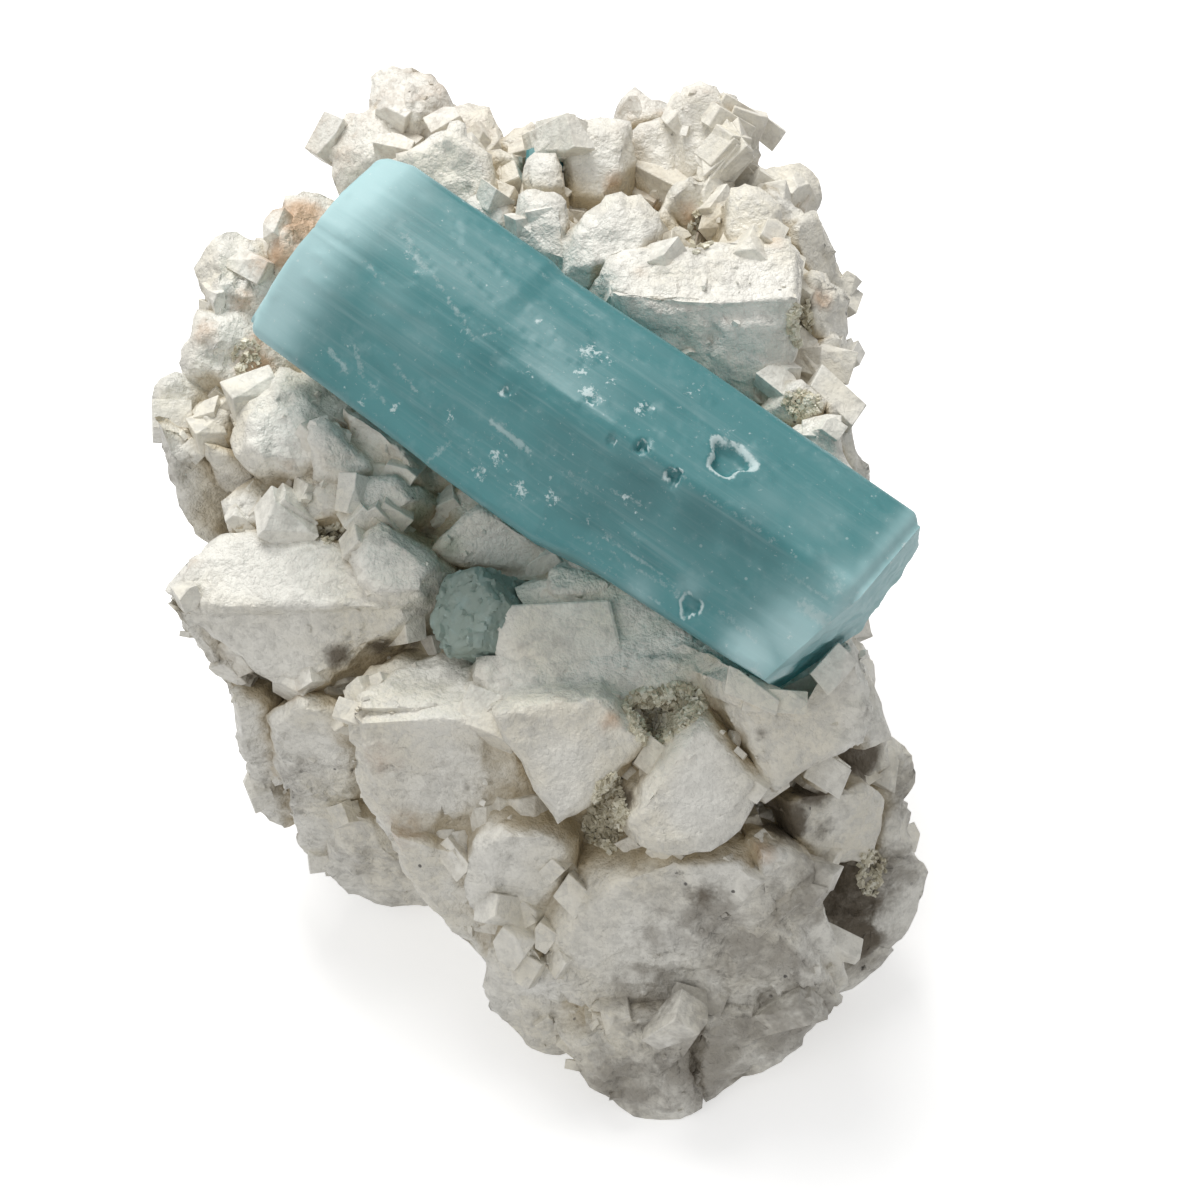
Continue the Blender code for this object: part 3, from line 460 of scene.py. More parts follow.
class Tone:
    """One socket of a material, so that sums on it read as plain arithmetic."""

    def __init__(self, paint, socket):
        self.paint = paint
        self.socket = socket

    def math(self, operation, *others):
        """A sum on this socket and others."""
        sockets = dict(enumerate((self,) + others))
        return self.paint.node("ShaderNodeMath", {"operation": operation}, sockets)

    def __add__(self, other):
        return self.math("ADD", other)

    def __sub__(self, other):
        return self.math("SUBTRACT", other)

    def __rsub__(self, other):
        return self.paint.node("ShaderNodeMath", {"operation": "SUBTRACT"}, {0: other, 1: self})

    def __mul__(self, other):
        return self.math("MULTIPLY", other)

    __radd__ = __add__
    __rmul__ = __mul__

    def most(self, other):
        """The larger of two."""
        return self.math("MAXIMUM", other)

    def between(self, low, high):
        """Zero below low, one above high, soft in between."""
        return self.paint.node("ShaderNodeMapRange", {"interpolation_type": "SMOOTHSTEP"},
                               {"Value": self, "From Min": low, "From Max": high})


class Paint:
    """A material and the shorthand that fills it with nodes."""

    def __init__(self, name):
        self.material = bpy.data.materials.new(name)
        self.material.use_nodes = True
        self.tree = self.material.node_tree
        self.tree.nodes.clear()
        self.place = self.node("ShaderNodeTexCoord", {}, {}, "Object")

    def node(self, kind, settings, sockets, out=0):
        """Add a node, set it up, feed its sockets and return one of its outputs."""
        made = self.tree.nodes.new(kind)
        for key, value in settings.items():
            if key == "stops":
                self.set_stops(made.color_ramp, value)
            else:
                setattr(made, key, value)
        for key, value in sockets.items():
            if isinstance(value, Tone):
                self.tree.links.new(value.socket, made.inputs[key])
            else:
                made.inputs[key].default_value = value
        return Tone(self, made.outputs[out])

    @staticmethod
    def set_stops(ramp, stops):
        """Give a ramp its places and colours."""
        while len(ramp.elements) > 1:
            ramp.elements.remove(ramp.elements[-1])
        ramp.elements[0].position, ramp.elements[0].color = stops[0]
        for position, colour in stops[1:]:
            ramp.elements.new(position).color = colour

    def mix(self, share, first, second):
        """Blend two colours."""
        return self.node("ShaderNodeMix", {"data_type": "RGBA"},
                         {0: share, 6: first, 7: second}, 2)

    def cloud(self, size, detail=3.0, rough=0.55, place=None, warp=0.0):
        """Soft noise with features of a size in millimetres."""
        return self.node("ShaderNodeTexNoise", {}, {
            "Vector": place or self.place, "Scale": 1.0 / (size * MM), "Detail": detail,
            "Roughness": rough, "Distortion": warp})

    def cells(self, size, out="Distance", place=None):
        """Crystal cells of a size in millimetres."""
        return self.node("ShaderNodeTexVoronoi", {}, {
            "Vector": place or self.place, "Scale": 1.0 / (size * MM)}, out)

    def pick(self, size):
        """A number that each crystal cell of a size in millimetres has for itself."""
        return self.node("ShaderNodeSeparateColor", {}, {0: self.cells(size, "Color")})

    def warped(self, reach):
        """Object coordinates pushed about by soft noise, a reach in millimetres."""
        push = self.node("ShaderNodeTexNoise", {}, {
            "Vector": self.place, "Scale": 1.0 / (1.6 * MM), "Detail": 2.0}, "Color")
        push = self.node("ShaderNodeVectorMath", {"operation": "SCALE"},
                         {0: push, "Scale": reach * 2.0 * MM})
        return self.node("ShaderNodeVectorMath", {"operation": "ADD"}, {0: self.place, 1: push})

    def kept(self, name):
        """A number stored on the piece's own points."""
        return self.node("ShaderNodeAttribute", {"attribute_name": name}, {}, "Fac")

    def bump(self, height, depth, strength=1.0):
        """Relief of a depth in millimetres."""
        return self.node("ShaderNodeBump", {}, {
            "Height": height, "Distance": depth * MM, "Strength": strength})

    def principled(self, sockets):
        """The shader of most finishes."""
        return self.node("ShaderNodeBsdfPrincipled", {}, sockets)

    def finish(self, surface, volume=None):
        """Link the shaders to the output and return the material."""
        sockets = {"Surface": surface}
        if volume is not None:
            sockets["Volume"] = volume
        output = self.tree.nodes.new("ShaderNodeOutputMaterial")
        for key, value in sockets.items():
            self.tree.links.new(value.socket, output.inputs[key])
        return self.material


def rgb(colour):
    """A colour with its opacity."""
    return (*colour, 1.0)


def albite_material(name, look, crisp=False):
    """White feldspar: milky, mottled and stained in places, with painted shade in crevices, in
    hollows, under the aquamarine and towards the base, and painted light in chosen places.
    """
    paint = Paint(name)
    broad = paint.cloud(12.0, 2.0)
    middle = paint.cloud(2.6, 3.0, 0.6)
    fine = paint.cloud(0.6, 2.0, 0.65)
    grain = paint.pick(1.2)
    wobble = (middle - 0.5) * 0.9 + (fine - 0.5) * 0.4
    colour = paint.mix(broad.between(0.40, 0.64), rgb(look.white), rgb(look.cream))
    clear = (middle * 0.9 + grain * 0.12 + fine * 0.3).between(0.52, 0.85)
    colour = paint.mix(clear * 0.5, colour, rgb(look.grey))
    mottle = (fine * 0.6 + grain * 0.2 + paint.cloud(1.3, 3.0, 0.6, warp=0.6) * 0.6)
    colour = paint.mix(mottle.between(0.62, 0.9) * 0.5, colour, rgb(look.grey))
    # Painted shade in the crevices: where other rock hides the sky the albite turns a darker
    # yellow-brown, partly a stain and partly painted shade.
    sheltered = (paint.kept("shelter") + wobble * 0.4).between(0.18, 0.68)
    colour = paint.mix(sheltered * 0.9, colour, rgb(look.tan))
    patch = paint.cloud(4.5, 3.0, 0.65, warp=0.8) - 0.5
    colour = paint.mix((patch * 2.2 + wobble * 0.6).between(0.05, 0.9) * 0.35, colour,
                       rgb(DULL_TINT))
    # Painted shade, darker towards the bottom and on the lower front.
    dusk = (paint.kept("dusk") + patch * 1.6 + wobble * 0.5).between(0.15, 1.0)
    colour = paint.mix(dusk * 0.85, colour, rgb(look.dusk))
    # Painted greenish shade under and beside the aquamarine.
    green = (paint.kept("green") + wobble * 0.4).between(0.1, 1.0)
    colour = paint.mix(green * 0.75, colour, rgb(look.green))
    warm = (paint.kept("warm") + wobble * 0.6).between(0.12, 0.85)
    colour = paint.mix(warm * 0.85, colour, rgb(look.warm))
    # Painted shade in the hollows and crevices, over a brown stain.
    hollow = (paint.kept("hollow") + wobble * 0.6).between(0.15, 0.65)
    colour = paint.mix(hollow * 0.95, colour, rgb(look.hollow))
    # Painted light: lighter albite in chosen places.
    bright = (paint.kept("bright") + wobble * 0.3).between(0.2, 1.0)
    colour = paint.mix(bright * 0.55, colour, rgb(PAINTED_LIGHT_TINT))
    sparse = paint.cloud(9.0, 2.0).between(0.55, 0.62)
    speck = 1.0 - paint.cells(3.2).between(0.05, 0.09)
    colour = paint.mix(speck * sparse * 0.9, colour, rgb(SPECK_TINT))
    gloss = 0.6 - grain * 0.25 + hollow * 0.2
    sugar = paint.cells(1.1, place=paint.warped(0.5)) * (0.3 + paint.kept("rough"))
    relief = grain * 0.3 + fine * 0.9 + middle * 0.9 + sugar * 1.1
    normal = paint.bump(relief, 0.2 if crisp else 0.35, 0.9)
    return paint.finish(paint.principled({
        "Base Color": colour, "Roughness": gloss, "Normal": normal, "IOR": 1.53}))


def mica_material(look):
    """Granular beige mica with dark flecks."""
    paint = Paint("granular mica")
    pick = paint.pick(0.9)
    soft = paint.cloud(0.8, 3.0)
    colour = paint.node("ShaderNodeValToRGB", {"stops": (
        (0.0, rgb(MICA_DARK)), (0.16, rgb(MICA_BROWN)),
        (0.55, rgb(look.mica)), (1.0, rgb(MICA_LIGHT)))}, {0: pick * 0.8 + soft * 0.3})
    return paint.finish(paint.principled({
        "Base Color": colour, "Roughness": 0.55 - pick * 0.25, "IOR": 1.58,
        "Normal": paint.bump(paint.cloud(0.3, 2.0), 0.08)}))


def along_prism(paint):
    """Object coordinates turned so that Z runs along the prism."""
    turn = Matrix((PRISM_ACROSS, PRISM_OUTWARD, PRISM_ALONG)).to_euler()
    moved = paint.node("ShaderNodeVectorMath", {"operation": "SUBTRACT"},
                       {0: paint.place, 1: PRISM_CENTRE})
    return paint.node("ShaderNodeMapping", {"vector_type": "POINT"},
                      {"Vector": moved, "Rotation": turn})


def stretched(paint, place, along):
    """Coordinates pressed together along Z, so that a pattern draws out into streaks."""
    return paint.node("ShaderNodeVectorMath", {"operation": "MULTIPLY"},
                      {0: place, 1: (1.0, 1.0, along)})


def beryl_material(name, look, clear, density, body):
    """Clear-cloudy blue beryl: plain transmission with absorption, streaked along its axis, with
    painted shade in its deep places and painted light in its pale ends.
    """
    paint = Paint(name)
    place = along_prism(paint)
    streak = paint.cloud(1.3, 3.0, 0.55, stretched(paint, place, 0.05))
    hair = paint.cloud(0.4, 2.0, 0.6, stretched(paint, place, 0.03))
    patch = paint.cloud(6.0, 3.0, 0.5, stretched(paint, place, 0.5))
    fleck = paint.cloud(0.55, 3.0, 0.75)
    mist = paint.cloud(2.2, 3.0, 0.6)
    # Painted shade: deeper teal where the prism's faces turn from the light and its middle is
    # thickest.
    deep = (paint.kept("deep") + (patch - 0.5) * 0.5 + (streak - 0.5) * 0.35).between(0.0, 1.0)
    # Pale ends: partly milky cloud, partly painted light where the thin ends let light through.
    pale = (paint.kept("pale") + (patch - 0.5) * 0.3 + (streak - 0.5) * 0.25).between(0.0, 1.0)
    colour = paint.mix(deep * 0.9, rgb(body), rgb(look.deep))
    colour = paint.mix((streak * 0.5 + hair * 0.5).between(0.48, 0.75) * 0.24, colour,
                       rgb(look.pale))
    colour = paint.mix(pale * 0.85, colour, rgb(look.pale))
    colour = paint.mix(mist.between(0.5, 0.8) * 0.2, colour, rgb(look.pale))
    wisp = (paint.kept("wisp") * 0.9 + (fleck - 0.5) * 1.6).between(0.25, 0.7)
    flecks = (paint.kept("fleck") * 0.8 + (fleck - 0.5) * 3.0).between(0.42, 0.78)
    dust = (1.0 - paint.cells(2.4).between(0.05, 0.09)) * paint.cloud(5.0).between(0.5, 0.62)
    frost = (wisp * 0.6).most(flecks).most(dust * 0.6)
    rim = (paint.kept("rim") + (fleck - 0.5) * 1.2).between(0.35, 0.8)
    frost = frost.most(rim)
    colour = paint.mix(frost * 0.85, colour, rgb(look.frost))
    rough = 0.34 + fleck * 0.1 + pale * 0.2 + frost * 0.3
    relief = streak * 0.5 + hair * 0.35 + fleck * 0.2
    normal = paint.bump(relief, 0.06, 0.6)
    glass = paint.principled({
        "Base Color": colour, "Roughness": rough, "Normal": normal, "IOR": 1.577,
        "Transmission Weight": clear})
    milk = paint.principled({
        "Base Color": colour, "Roughness": 0.6, "Normal": normal, "IOR": 1.53})
    share = (pale * 0.85).most(frost * 0.7).most(0.25)
    surface = paint.node("ShaderNodeMixShader", {}, {0: share, 1: glass, 2: milk})
    volume = paint.node("ShaderNodeVolumeAbsorption", {}, {
        "Color": rgb(look.absorb), "Density": density})
    return paint.finish(surface, volume)


def floor_material(look):
    """Plain pale paper."""
    paint = Paint("pale floor")
    grain = paint.cloud(6.0, 2.0)
    colour = paint.mix(grain * 0.2, rgb(look.floor), rgb([c * 0.985 for c in look.floor]))
    return paint.finish(paint.principled({
        "Base Color": colour, "Roughness": 0.9, "Specular IOR Level": 0.1,
        "Emission Color": rgb(WHITE), "Emission Strength": look.floor_glow}))


# ---------------------------------------------------------------- settings

def colour_setting(name, description, default):
    """A colour that the user can change."""
    return FloatVectorProperty(name=name, description=description, default=default,
                               subtype="COLOR", size=3)


class RockSettings(bpy.types.PropertyGroup):
    """Sizes and colours of the albite."""

    step: FloatProperty(name="Surface step", description="Longest edge of the rock's surface",
                        default=1.25 * MM, min=0.4 * MM, unit="LENGTH", precision=5)
    crisp: IntProperty(name="Crisp blocks", description="Cleavage blocks on the surface",
                       default=1500, min=0)
    grains: IntProperty(name="Crystal grains", description="Crisp crystals on the surface",
                        default=1100, min=0)
    white: colour_setting("White", "Colour of clean albite", (0.85, 0.83, 0.765))
    cream: colour_setting("Cream", "Colour of the creamier albite", (0.80, 0.76, 0.655))
    grey: colour_setting("Grey", "Colour of the clearer, greyer grains", (0.60, 0.585, 0.535))
    # Colour of the painted crevice shade, a darker yellow-brown that is partly a stain.
    tan: colour_setting("Tan", "Colour of the crevices", (0.45, 0.365, 0.225))
    # Colour of the painted shade on the lower front and foot.
    dusk: colour_setting("Foot_shade", "Colour of the shaded foot", (0.28, 0.255, 0.215))
    # Colour of the painted greenish shade under the aquamarine.
    green: colour_setting("Green", "Tint near the aquamarine", (0.40, 0.44, 0.33))
    warm: colour_setting("Rust", "Colour of the iron stain", (0.58, 0.38, 0.23))
    # Colour of the painted shade in the hollows, over a brown stain.
    hollow: colour_setting("Hollow", "Colour of the dark recesses", (0.115, 0.092, 0.062))
    mica: colour_setting("Mica", "Colour of the granular mica", (0.68, 0.64, 0.50))


class BerylSettings(bpy.types.PropertyGroup):
    """Sizes and colours of the aquamarine."""

    radius: FloatProperty(name="Radius", description="Axis to corner of the large prism",
                          default=13.1 * MM, min=1.0 * MM, unit="LENGTH", precision=4)
    striae: FloatProperty(name="Striation depth", description="Depth of the growth lines",
                          default=0.10 * MM, min=0.0, unit="LENGTH", precision=5)
    body: colour_setting("Body", "Body colour of the large prism", (0.09, 0.35, 0.37))
    # Colour of the painted shade on the prism.
    deep: colour_setting("Deep", "Colour of its deeper zones", (0.045, 0.245, 0.265))
    # Pale colour: partly milky cloud, partly painted light at the thin ends.
    pale: colour_setting("Pale", "Colour of its cloudy ends", (0.50, 0.72, 0.74))
    frost: colour_setting("Frost", "Colour of veils and crust", (0.66, 0.78, 0.78))
    dark: colour_setting("Dark", "Body colour of the small front prism", (0.36, 0.45, 0.40))
    absorb: colour_setting("Absorption", "Colour the depth leaves", (0.42, 0.80, 0.82))
    density: FloatProperty(name="Absorption density", description="Density of the absorption",
                           default=35.0, min=0.0)


class StageSettings(bpy.types.PropertyGroup):
    """Floor and light."""

    floor_size: FloatProperty(name="Floor size", description="Side of the floor",
                              default=4.0, min=0.5, unit="LENGTH")
    floor: colour_setting("Floor colour", "Colour of the floor", (0.93, 0.93, 0.93))
    floor_glow: FloatProperty(name="Floor glow", description="Evens out the floor's light",
                              default=0.40, min=0.0)
    key: FloatProperty(name="Key light", description="Power of the large upper light",
                       default=3.7, min=0.0, unit="POWER")
    fill: FloatProperty(name="Fill light", description="Power of the front light",
                        default=0.9, min=0.0, unit="POWER")
    sky: FloatProperty(name="Surrounding light", description="Brightness of the room",
                       default=0.50, min=0.0)


# ---------------------------------------------------------------- the albite

# Directions that feel for rock round a place, and how far they look, in metres.
FAN = [Vector((math.cos(k * 2.4), math.sin(k * 2.4), 0.25 + 0.13 * k)).normalized()
       for k in range(10)]
SHELTER_REACH = 9.0 * MM
# The crowding from which a place counts as a crevice.
CREVICE = 0.3

BLOCK_SEED, GRAIN_SEED, MICA_SEED = 17, 23, 31
BLOCK_SHAPES, GRAIN_SHAPES, MICA_SHAPES = 8, 4, 3


def crowding(tree, place, normal, reach):
    """Share of the directions over the surface in which other rock stands close."""
    turn = normal.to_track_quat("Z", "Y").to_matrix()
    start = place + normal * 0.2 * MM
    hits = sum(1 for ray in FAN if tree.ray_cast(start, turn @ ray, reach)[0] is not None)
    return hits / len(FAN)


def scattered(mesh, count, rng, lowest):
    """Seeded places and directions on a mesh, by area."""
    mesh.calc_loop_triangles()
    triangles = mesh.loop_triangles
    weights = [t.area for t in triangles]
    for triangle in rng.choices(triangles, weights=weights, k=count):
        a, b, c = (mesh.vertices[i].co for i in triangle.vertices)
        u, v = rng.random(), rng.random()
        if u + v > 1.0:
            u, v = 1.0 - u, 1.0 - v
        place = a + (b - a) * u + (c - a) * v
        if place.z > lowest:
            yield place, triangle.normal.copy()


def shared_turn(place, size, rng, spread):
    """A direction that neighbours within a cell share, give or take."""
    _, points = noise.voronoi(place / size)
    pick = noise.cell_vector(points[0] * 91.7)
    turn = Quaternion((pick.x - 0.5, pick.y - 0.5, pick.z - 0.5, 0.3 + pick.x)).normalized()
    slip = Quaternion((1.0, rng.gauss(0, spread), rng.gauss(0, spread), rng.gauss(0, spread)))
    return turn @ slip.normalized()


def block_matrix(place, turn, size, skew=0.0):
    """Place, turn and shear of one cleavage block."""
    shear = Matrix(((size[0], skew * size[1], 0, 0), (0, size[1], 0, 0),
                    (0, 0, size[2], 0), (0, 0, 0, 1)))
    return Matrix.Translation(place) @ turn.to_matrix().to_4x4() @ shear


def fine_copy(mesh, longest):
    """The frame's solid with its sharp edges kept and its long edges cut."""
    bm = bmesh_of(mesh)
    bmesh.ops.remove_doubles(bm, verts=bm.verts[:], dist=JOIN)
    for rounds in range(CUT_ROUNDS):
        if rounds < TURN_ROUNDS:
            flat = [e for e in bm.edges if e.is_manifold and e.calc_face_angle() < FLAT_ANGLE]
            bmesh.ops.beautify_fill(bm, faces=bm.faces[:], edges=flat, method="ANGLE")
        long = [e for e in bm.edges if e.calc_length() > longest]
        bmesh.ops.subdivide_edges(bm, edges=long, cuts=1)
        bmesh.ops.triangulate(bm, faces=[f for f in bm.faces if len(f.verts) > 3])
    return mesh_from("albite", bm)


def cell_relief(points, size, rise, tilt, seed):
    """Facets: each crystal cell stands at its own height and slope, in metres."""
    scale = 1.0 / (size * MM)
    lift = np.empty(len(points))
    shift = Vector((seed * 3.7, seed * 1.9, seed * 5.3))
    for index, point in enumerate(points):
        here = Vector(point) * scale + shift
        _, seeds = noise.voronoi(here, distance_metric="CHEBYCHEV")
        centre = seeds[0]
        pick = noise.cell_vector(centre * 57.3)
        offset = here - centre
        slope = (pick.y - 0.5) * offset.x + (pick.z - 0.5) * offset.y + (pick.x - 0.5) * offset.z
        lift[index] = (pick.x - 0.5) * rise + slope * tilt
    return lift * MM


def soft_relief(points, size, octaves, seed):
    """Plain noise relief between minus one and one."""
    scale = 1.0 / (size * MM)
    shift = Vector((seed * 7.1, seed * 2.3, seed * 4.9))
    return np.array([noise.fractal(Vector(p) * scale + shift, 1.0, 2.0, octaves) for p in points])


def weather(mesh, radius):
    """Break the rock's surface into facets, grains and worn patches."""
    points = read_points(mesh)
    normals = read_normals(mesh)
    worn = np.clip(soft_relief(points, 11.0, 2, 1.0) * 1.4 + 0.5, 0.0, 1.0)
    tree = tree_of(mesh)
    rough = spot_cover(points, spots_on(tree, ROUGH), worn * 0.35)
    calm = 1.0 - 0.8 * spot_cover(points, spots_on(tree, CALM))
    lift = cell_relief(points, 5.2, 0.75, 1.2, 1.0) * (0.55 + 0.8 * rough) * calm
    lift += cell_relief(points, 2.2, 0.40, 0.5, 2.0) * (0.35 + 1.1 * rough) * calm
    lift += soft_relief(points, 1.3, 2, 3.0) * (0.06 + 0.15 * rough) * MM
    crest = 0.25 - np.abs(soft_relief(points, 4.2, 3, 5.0))
    lift += crest * (0.1 + 1.5 * rough) * calm * MM
    lift = np.where(points[:, 2] < 1.0 * MM, lift * 0.2, lift)
    points = points + normals * lift[:, None]
    gap, away = prism_depth(points, radius)
    push = np.clip(0.05 * MM - gap, 0.0, 0.9 * MM)
    points += away * push[:, None]
    points[:, 2] = np.maximum(points[:, 2], 0.0)
    write_points(mesh, points)


def shelter(points, normals, tree, reach):
    """Share of the sky over each point that other rock hides within a distance."""
    hidden = np.zeros(len(points))
    for index, (point, normal) in enumerate(zip(points, normals)):
        hidden[index] = crowding(tree, Vector(point), Vector(normal), reach)
    return hidden


def soften(mesh, value, rounds):
    """Spread a value a little over the surface."""
    ends = np.empty(len(mesh.edges) * 2, np.int32)
    mesh.edges.foreach_get("vertices", ends)
    a, b = ends.reshape(-1, 2).T
    count = np.bincount(a, minlength=len(value)) + np.bincount(b, minlength=len(value)) + 1.0
    for _ in range(rounds):
        near = np.bincount(a, value[b], len(value)) + np.bincount(b, value[a], len(value))
        value = (near + value) / count
    return value


def stain(mesh, rock_tree=None):
    """Store where the albite is sheltered and rust-stained, and where painted shade and painted
    light go: shade in crevices and in hollows over a brown stain, greenish shade under the
    aquamarine, shade darker towards the base, and light in chosen places.
    """
    tree = rock_tree or tree_of(mesh)
    points = read_points(mesh)
    hidden = shelter(points, read_normals(mesh), tree, SHELTER_REACH)
    store(mesh, "shelter", soften(mesh, hidden, 3) * (0.5 if rock_tree else 1.0))
    # Painted shade that grows towards the base.
    low = np.clip((16.0 * MM - points[:, 2]) / (16.0 * MM), 0.0, 1.0) * 0.45
    behind = np.clip((points[:, 1] - 20.0 * MM) / (20.0 * MM), 0.0, 1.0) * 0.25
    paint_spots(mesh, "warm", spots_on(tree, WARM), behind)
    paint_spots(mesh, "green", spots_on(tree, GREEN_SHADE_SPOTS))
    paint_spots(mesh, "hollow", spots_on(tree, SHADED_HOLLOWS))
    paint_spots(mesh, "dusk", spots_on(tree, LOW_SHADE_SPOTS), low)
    paint_spots(mesh, "bright", spots_on(tree, PAINTED_LIGHT_SPOTS))
    paint_spots(mesh, "rough", spots_on(tree, ROUGH))


class SPECIMEN_OT_albite_rock(bpy.types.Operator):
    """Builds the albite rock on the frame's own solid"""

    bl_idname = "specimen.albite_rock"
    bl_label = "Albite rock"

    def execute(self, context):
        look = context.scene.specimen_rock
        radius = context.scene.specimen_beryl.radius / MM
        longest = look.step * 1.0
        mesh = fine_copy(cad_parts["albite_matrix"].data, longest)
        weather(mesh, radius)
        mesh = thin_to(mesh, ROCK_TRIANGLES)
        mesh.materials.clear()
        mesh.materials.append(albite_material("albite", look))
        shade(mesh, 30.0)
        stain(mesh)
        rock = new_object("albite_rock", mesh)
        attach(rock, "root")
        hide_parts("albite_matrix")
        return {"FINISHED"}


def cut_away(bm, point, direction):
    """Cut off what lies past a plane and close the hole."""
    cut = bmesh.ops.bisect_plane(bm, geom=bm.verts[:] + bm.edges[:] + bm.faces[:],
                                 plane_co=point, plane_no=direction, clear_outer=True)
    edges = [e for e in cut["geom_cut"] if isinstance(e, bmesh.types.BMEdge)]
    bmesh.ops.contextual_create(bm, geom=edges)


def grain_template(rng):
    """A small rhombic crystal with two corners cut away."""
    bm = bmesh.new()
    bmesh.ops.create_cube(bm, size=1.0)
    for vertex in bm.verts:
        vertex.co.x += vertex.co.y * 0.25
    for _ in range(2):
        side = Vector((rng.choice((-1, 1)), rng.choice((-1, 1)), rng.uniform(0.6, 1.4)))
        cut_away(bm, side.normalized() * rng.uniform(0.52, 0.62), side)
    bmesh.ops.recalc_face_normals(bm, faces=bm.faces[:])
    return mesh_from("grain", bm)


def block_template(rng):
    """A cleavage block: sheared, with two cut corners and worn edges."""
    bm = bmesh.new()
    bmesh.ops.create_cube(bm, size=1.0)
    lean = rng.uniform(-0.2, 0.3)
    for vertex in bm.verts:
        vertex.co.x += vertex.co.y * lean
        vertex.co *= rng.uniform(0.93, 1.07)
    for _ in range(2):
        side = Vector([rng.choice((-1, 1)) * rng.uniform(0.4, 1.2) for _ in range(3)])
        cut_away(bm, side.normalized() * rng.uniform(0.5, 0.66), side)
    bmesh.ops.bevel(bm, geom=bm.edges[:], affect="EDGES", offset=0.022, segments=1,
                    profile=0.5, material=-1)
    bmesh.ops.recalc_face_normals(bm, faces=bm.faces[:])
    return mesh_from("block", bm)


def clear_of_beryl(place, radius, front_tree, room):
    """Whether a crystal of a half size keeps off the aquamarines."""
    gap, _ = prism_depth(np.array([place]), radius)
    if gap[0] < room:
        return False
    return front_tree.find_nearest(place)[3] > room * 1.4


def keep_above_floor(mesh):
    """Flatten what would reach below the base plane."""
    points = read_points(mesh)
    points[:, 2] = np.maximum(points[:, 2], 0.0)
    write_points(mesh, points)


def takes_block(place, normal, crowd, zones, rng):
    """Whether a crevice, a rough place or the hidden back gets a cleavage block here."""
    rough, calm, quiet = zones
    here = np.array([place])
    hidden = place.dot(OUT) < -12.0 * MM
    chance = 1.1 * (crowd - 0.2) + 0.2 * spot_cover(here, rough)[0] + 0.15 * hidden + 0.02
    if rng.random() > chance:
        return False
    if crowd < 0.7 and spot_cover(here, calm)[0] > 0.3:
        return False
    if spot_cover(here, quiet)[0] > 0.15:
        return False
    edge_on = abs(normal.dot(OUT)) < 0.35 and not hidden
    return not (edge_on or crowd < CREVICE and place.z < 28.0 * MM)


def loose_block(place, normal, crowd, rng):
    """Place, turn and sides of a block: large in a crevice, a low plate in the open."""
    if crowd > CREVICE:
        big = rng.uniform(2.2, 5.2)
        turn = shared_turn(place, 12.0 * MM, rng, 0.06)
        lift = big * rng.uniform(-0.45, -0.18)
    else:
        big = rng.uniform(1.2, 3.6)
        spin = noise.cell(place / (7.0 * MM)) * math.tau + rng.gauss(0.0, 0.12)
        turn = normal.to_track_quat("Z", "Y") @ Quaternion((0.0, 0.0, 1.0), spin)
        turn = turn @ Quaternion((1.0, rng.gauss(0, 0.08), rng.gauss(0, 0.08), 0.0))
        lift = -big * 0.38 + rng.uniform(0.05, 0.3)
    size = [big * rng.uniform(0.8, 1.5) * MM, big * rng.uniform(0.6, 1.0) * MM,
            big * rng.uniform(0.6, 0.9) * MM]
    return place + normal * lift * MM, turn.normalized(), size, big


class SPECIMEN_OT_albite_blocks(bpy.types.Operator):
    """Sets crisp cleavage blocks into crevices and broken places"""

    bl_idname = "specimen.albite_blocks"
    bl_label = "Albite blocks"

    def execute(self, context):
        look = context.scene.specimen_rock
        radius = context.scene.specimen_beryl.radius / MM
        rng = random.Random(BLOCK_SEED)
        rock = bpy.data.objects["albite_rock"]
        tree = tree_of(rock.data)
        patches = tuple((x, y, PATCH_REACH * max(wide, high), 1.0)
                        for x, y, wide, high, _ in MICA_PATCHES)
        zones = [spots_on(tree, rows) for rows in (ROUGH, CALM, SHADED_HOLLOWS + patches)]
        front_tree = tree_of(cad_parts["aquamarine_small_front"].data)
        templates = [block_template(rng) for _ in range(BLOCK_SHAPES)]
        rows = []
        for place, normal in scattered(rock.data, look.crisp * 6, rng, 1.5 * MM):
            crowd = crowding(tree, place, normal, 5.0 * MM)
            if not takes_block(place, normal, crowd, zones, rng):
                continue
            at, turn, size, big = loose_block(place, normal, crowd, rng)
            if not clear_of_beryl(at, radius, front_tree, big * 0.5 * MM):
                continue
            rows.append((block_matrix(at, turn, size), rng.randrange(len(templates))))
            if len(rows) >= look.crisp:
                break
        facing = Matrix((RIGHT, UP, OUT)).transposed().to_quaternion()
        for x, y, wide, high, deep, angle, lift in SET_BLOCKS:
            at = seen_on(tree, x, y)[0] + OUT * lift * MM
            turn = facing @ Quaternion((0.0, 0.0, 1.0), math.radians(angle))
            size = [wide * MM, high * MM, deep * MM]
            rows.append((block_matrix(at, turn, size), len(rows) % len(templates)))
        mesh = gather("albite blocks", rows, templates)
        keep_above_floor(mesh)
        stain(mesh, tree)
        mesh.materials.append(albite_material("albite blocks", look, crisp=True))
        blocks = new_object("albite_blocks", mesh)
        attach(blocks, "root")
        return {"FINISHED"}


def gather(name, rows, templates):
    """One mesh of many crystals; each row is a matrix and the number of its template."""
    bm = bmesh.new()
    shapes = [(t, read_points(t)) for t in templates]
    for matrix, pick in rows:
        shape, points = shapes[pick]
        turned = points @ np.array(matrix.to_3x3()).T + np.array(matrix.translation)
        write_points(shape, turned)
        bm.from_mesh(shape)
    for shape, _ in shapes:
        bpy.data.meshes.remove(shape)
    return mesh_from(name, bm)


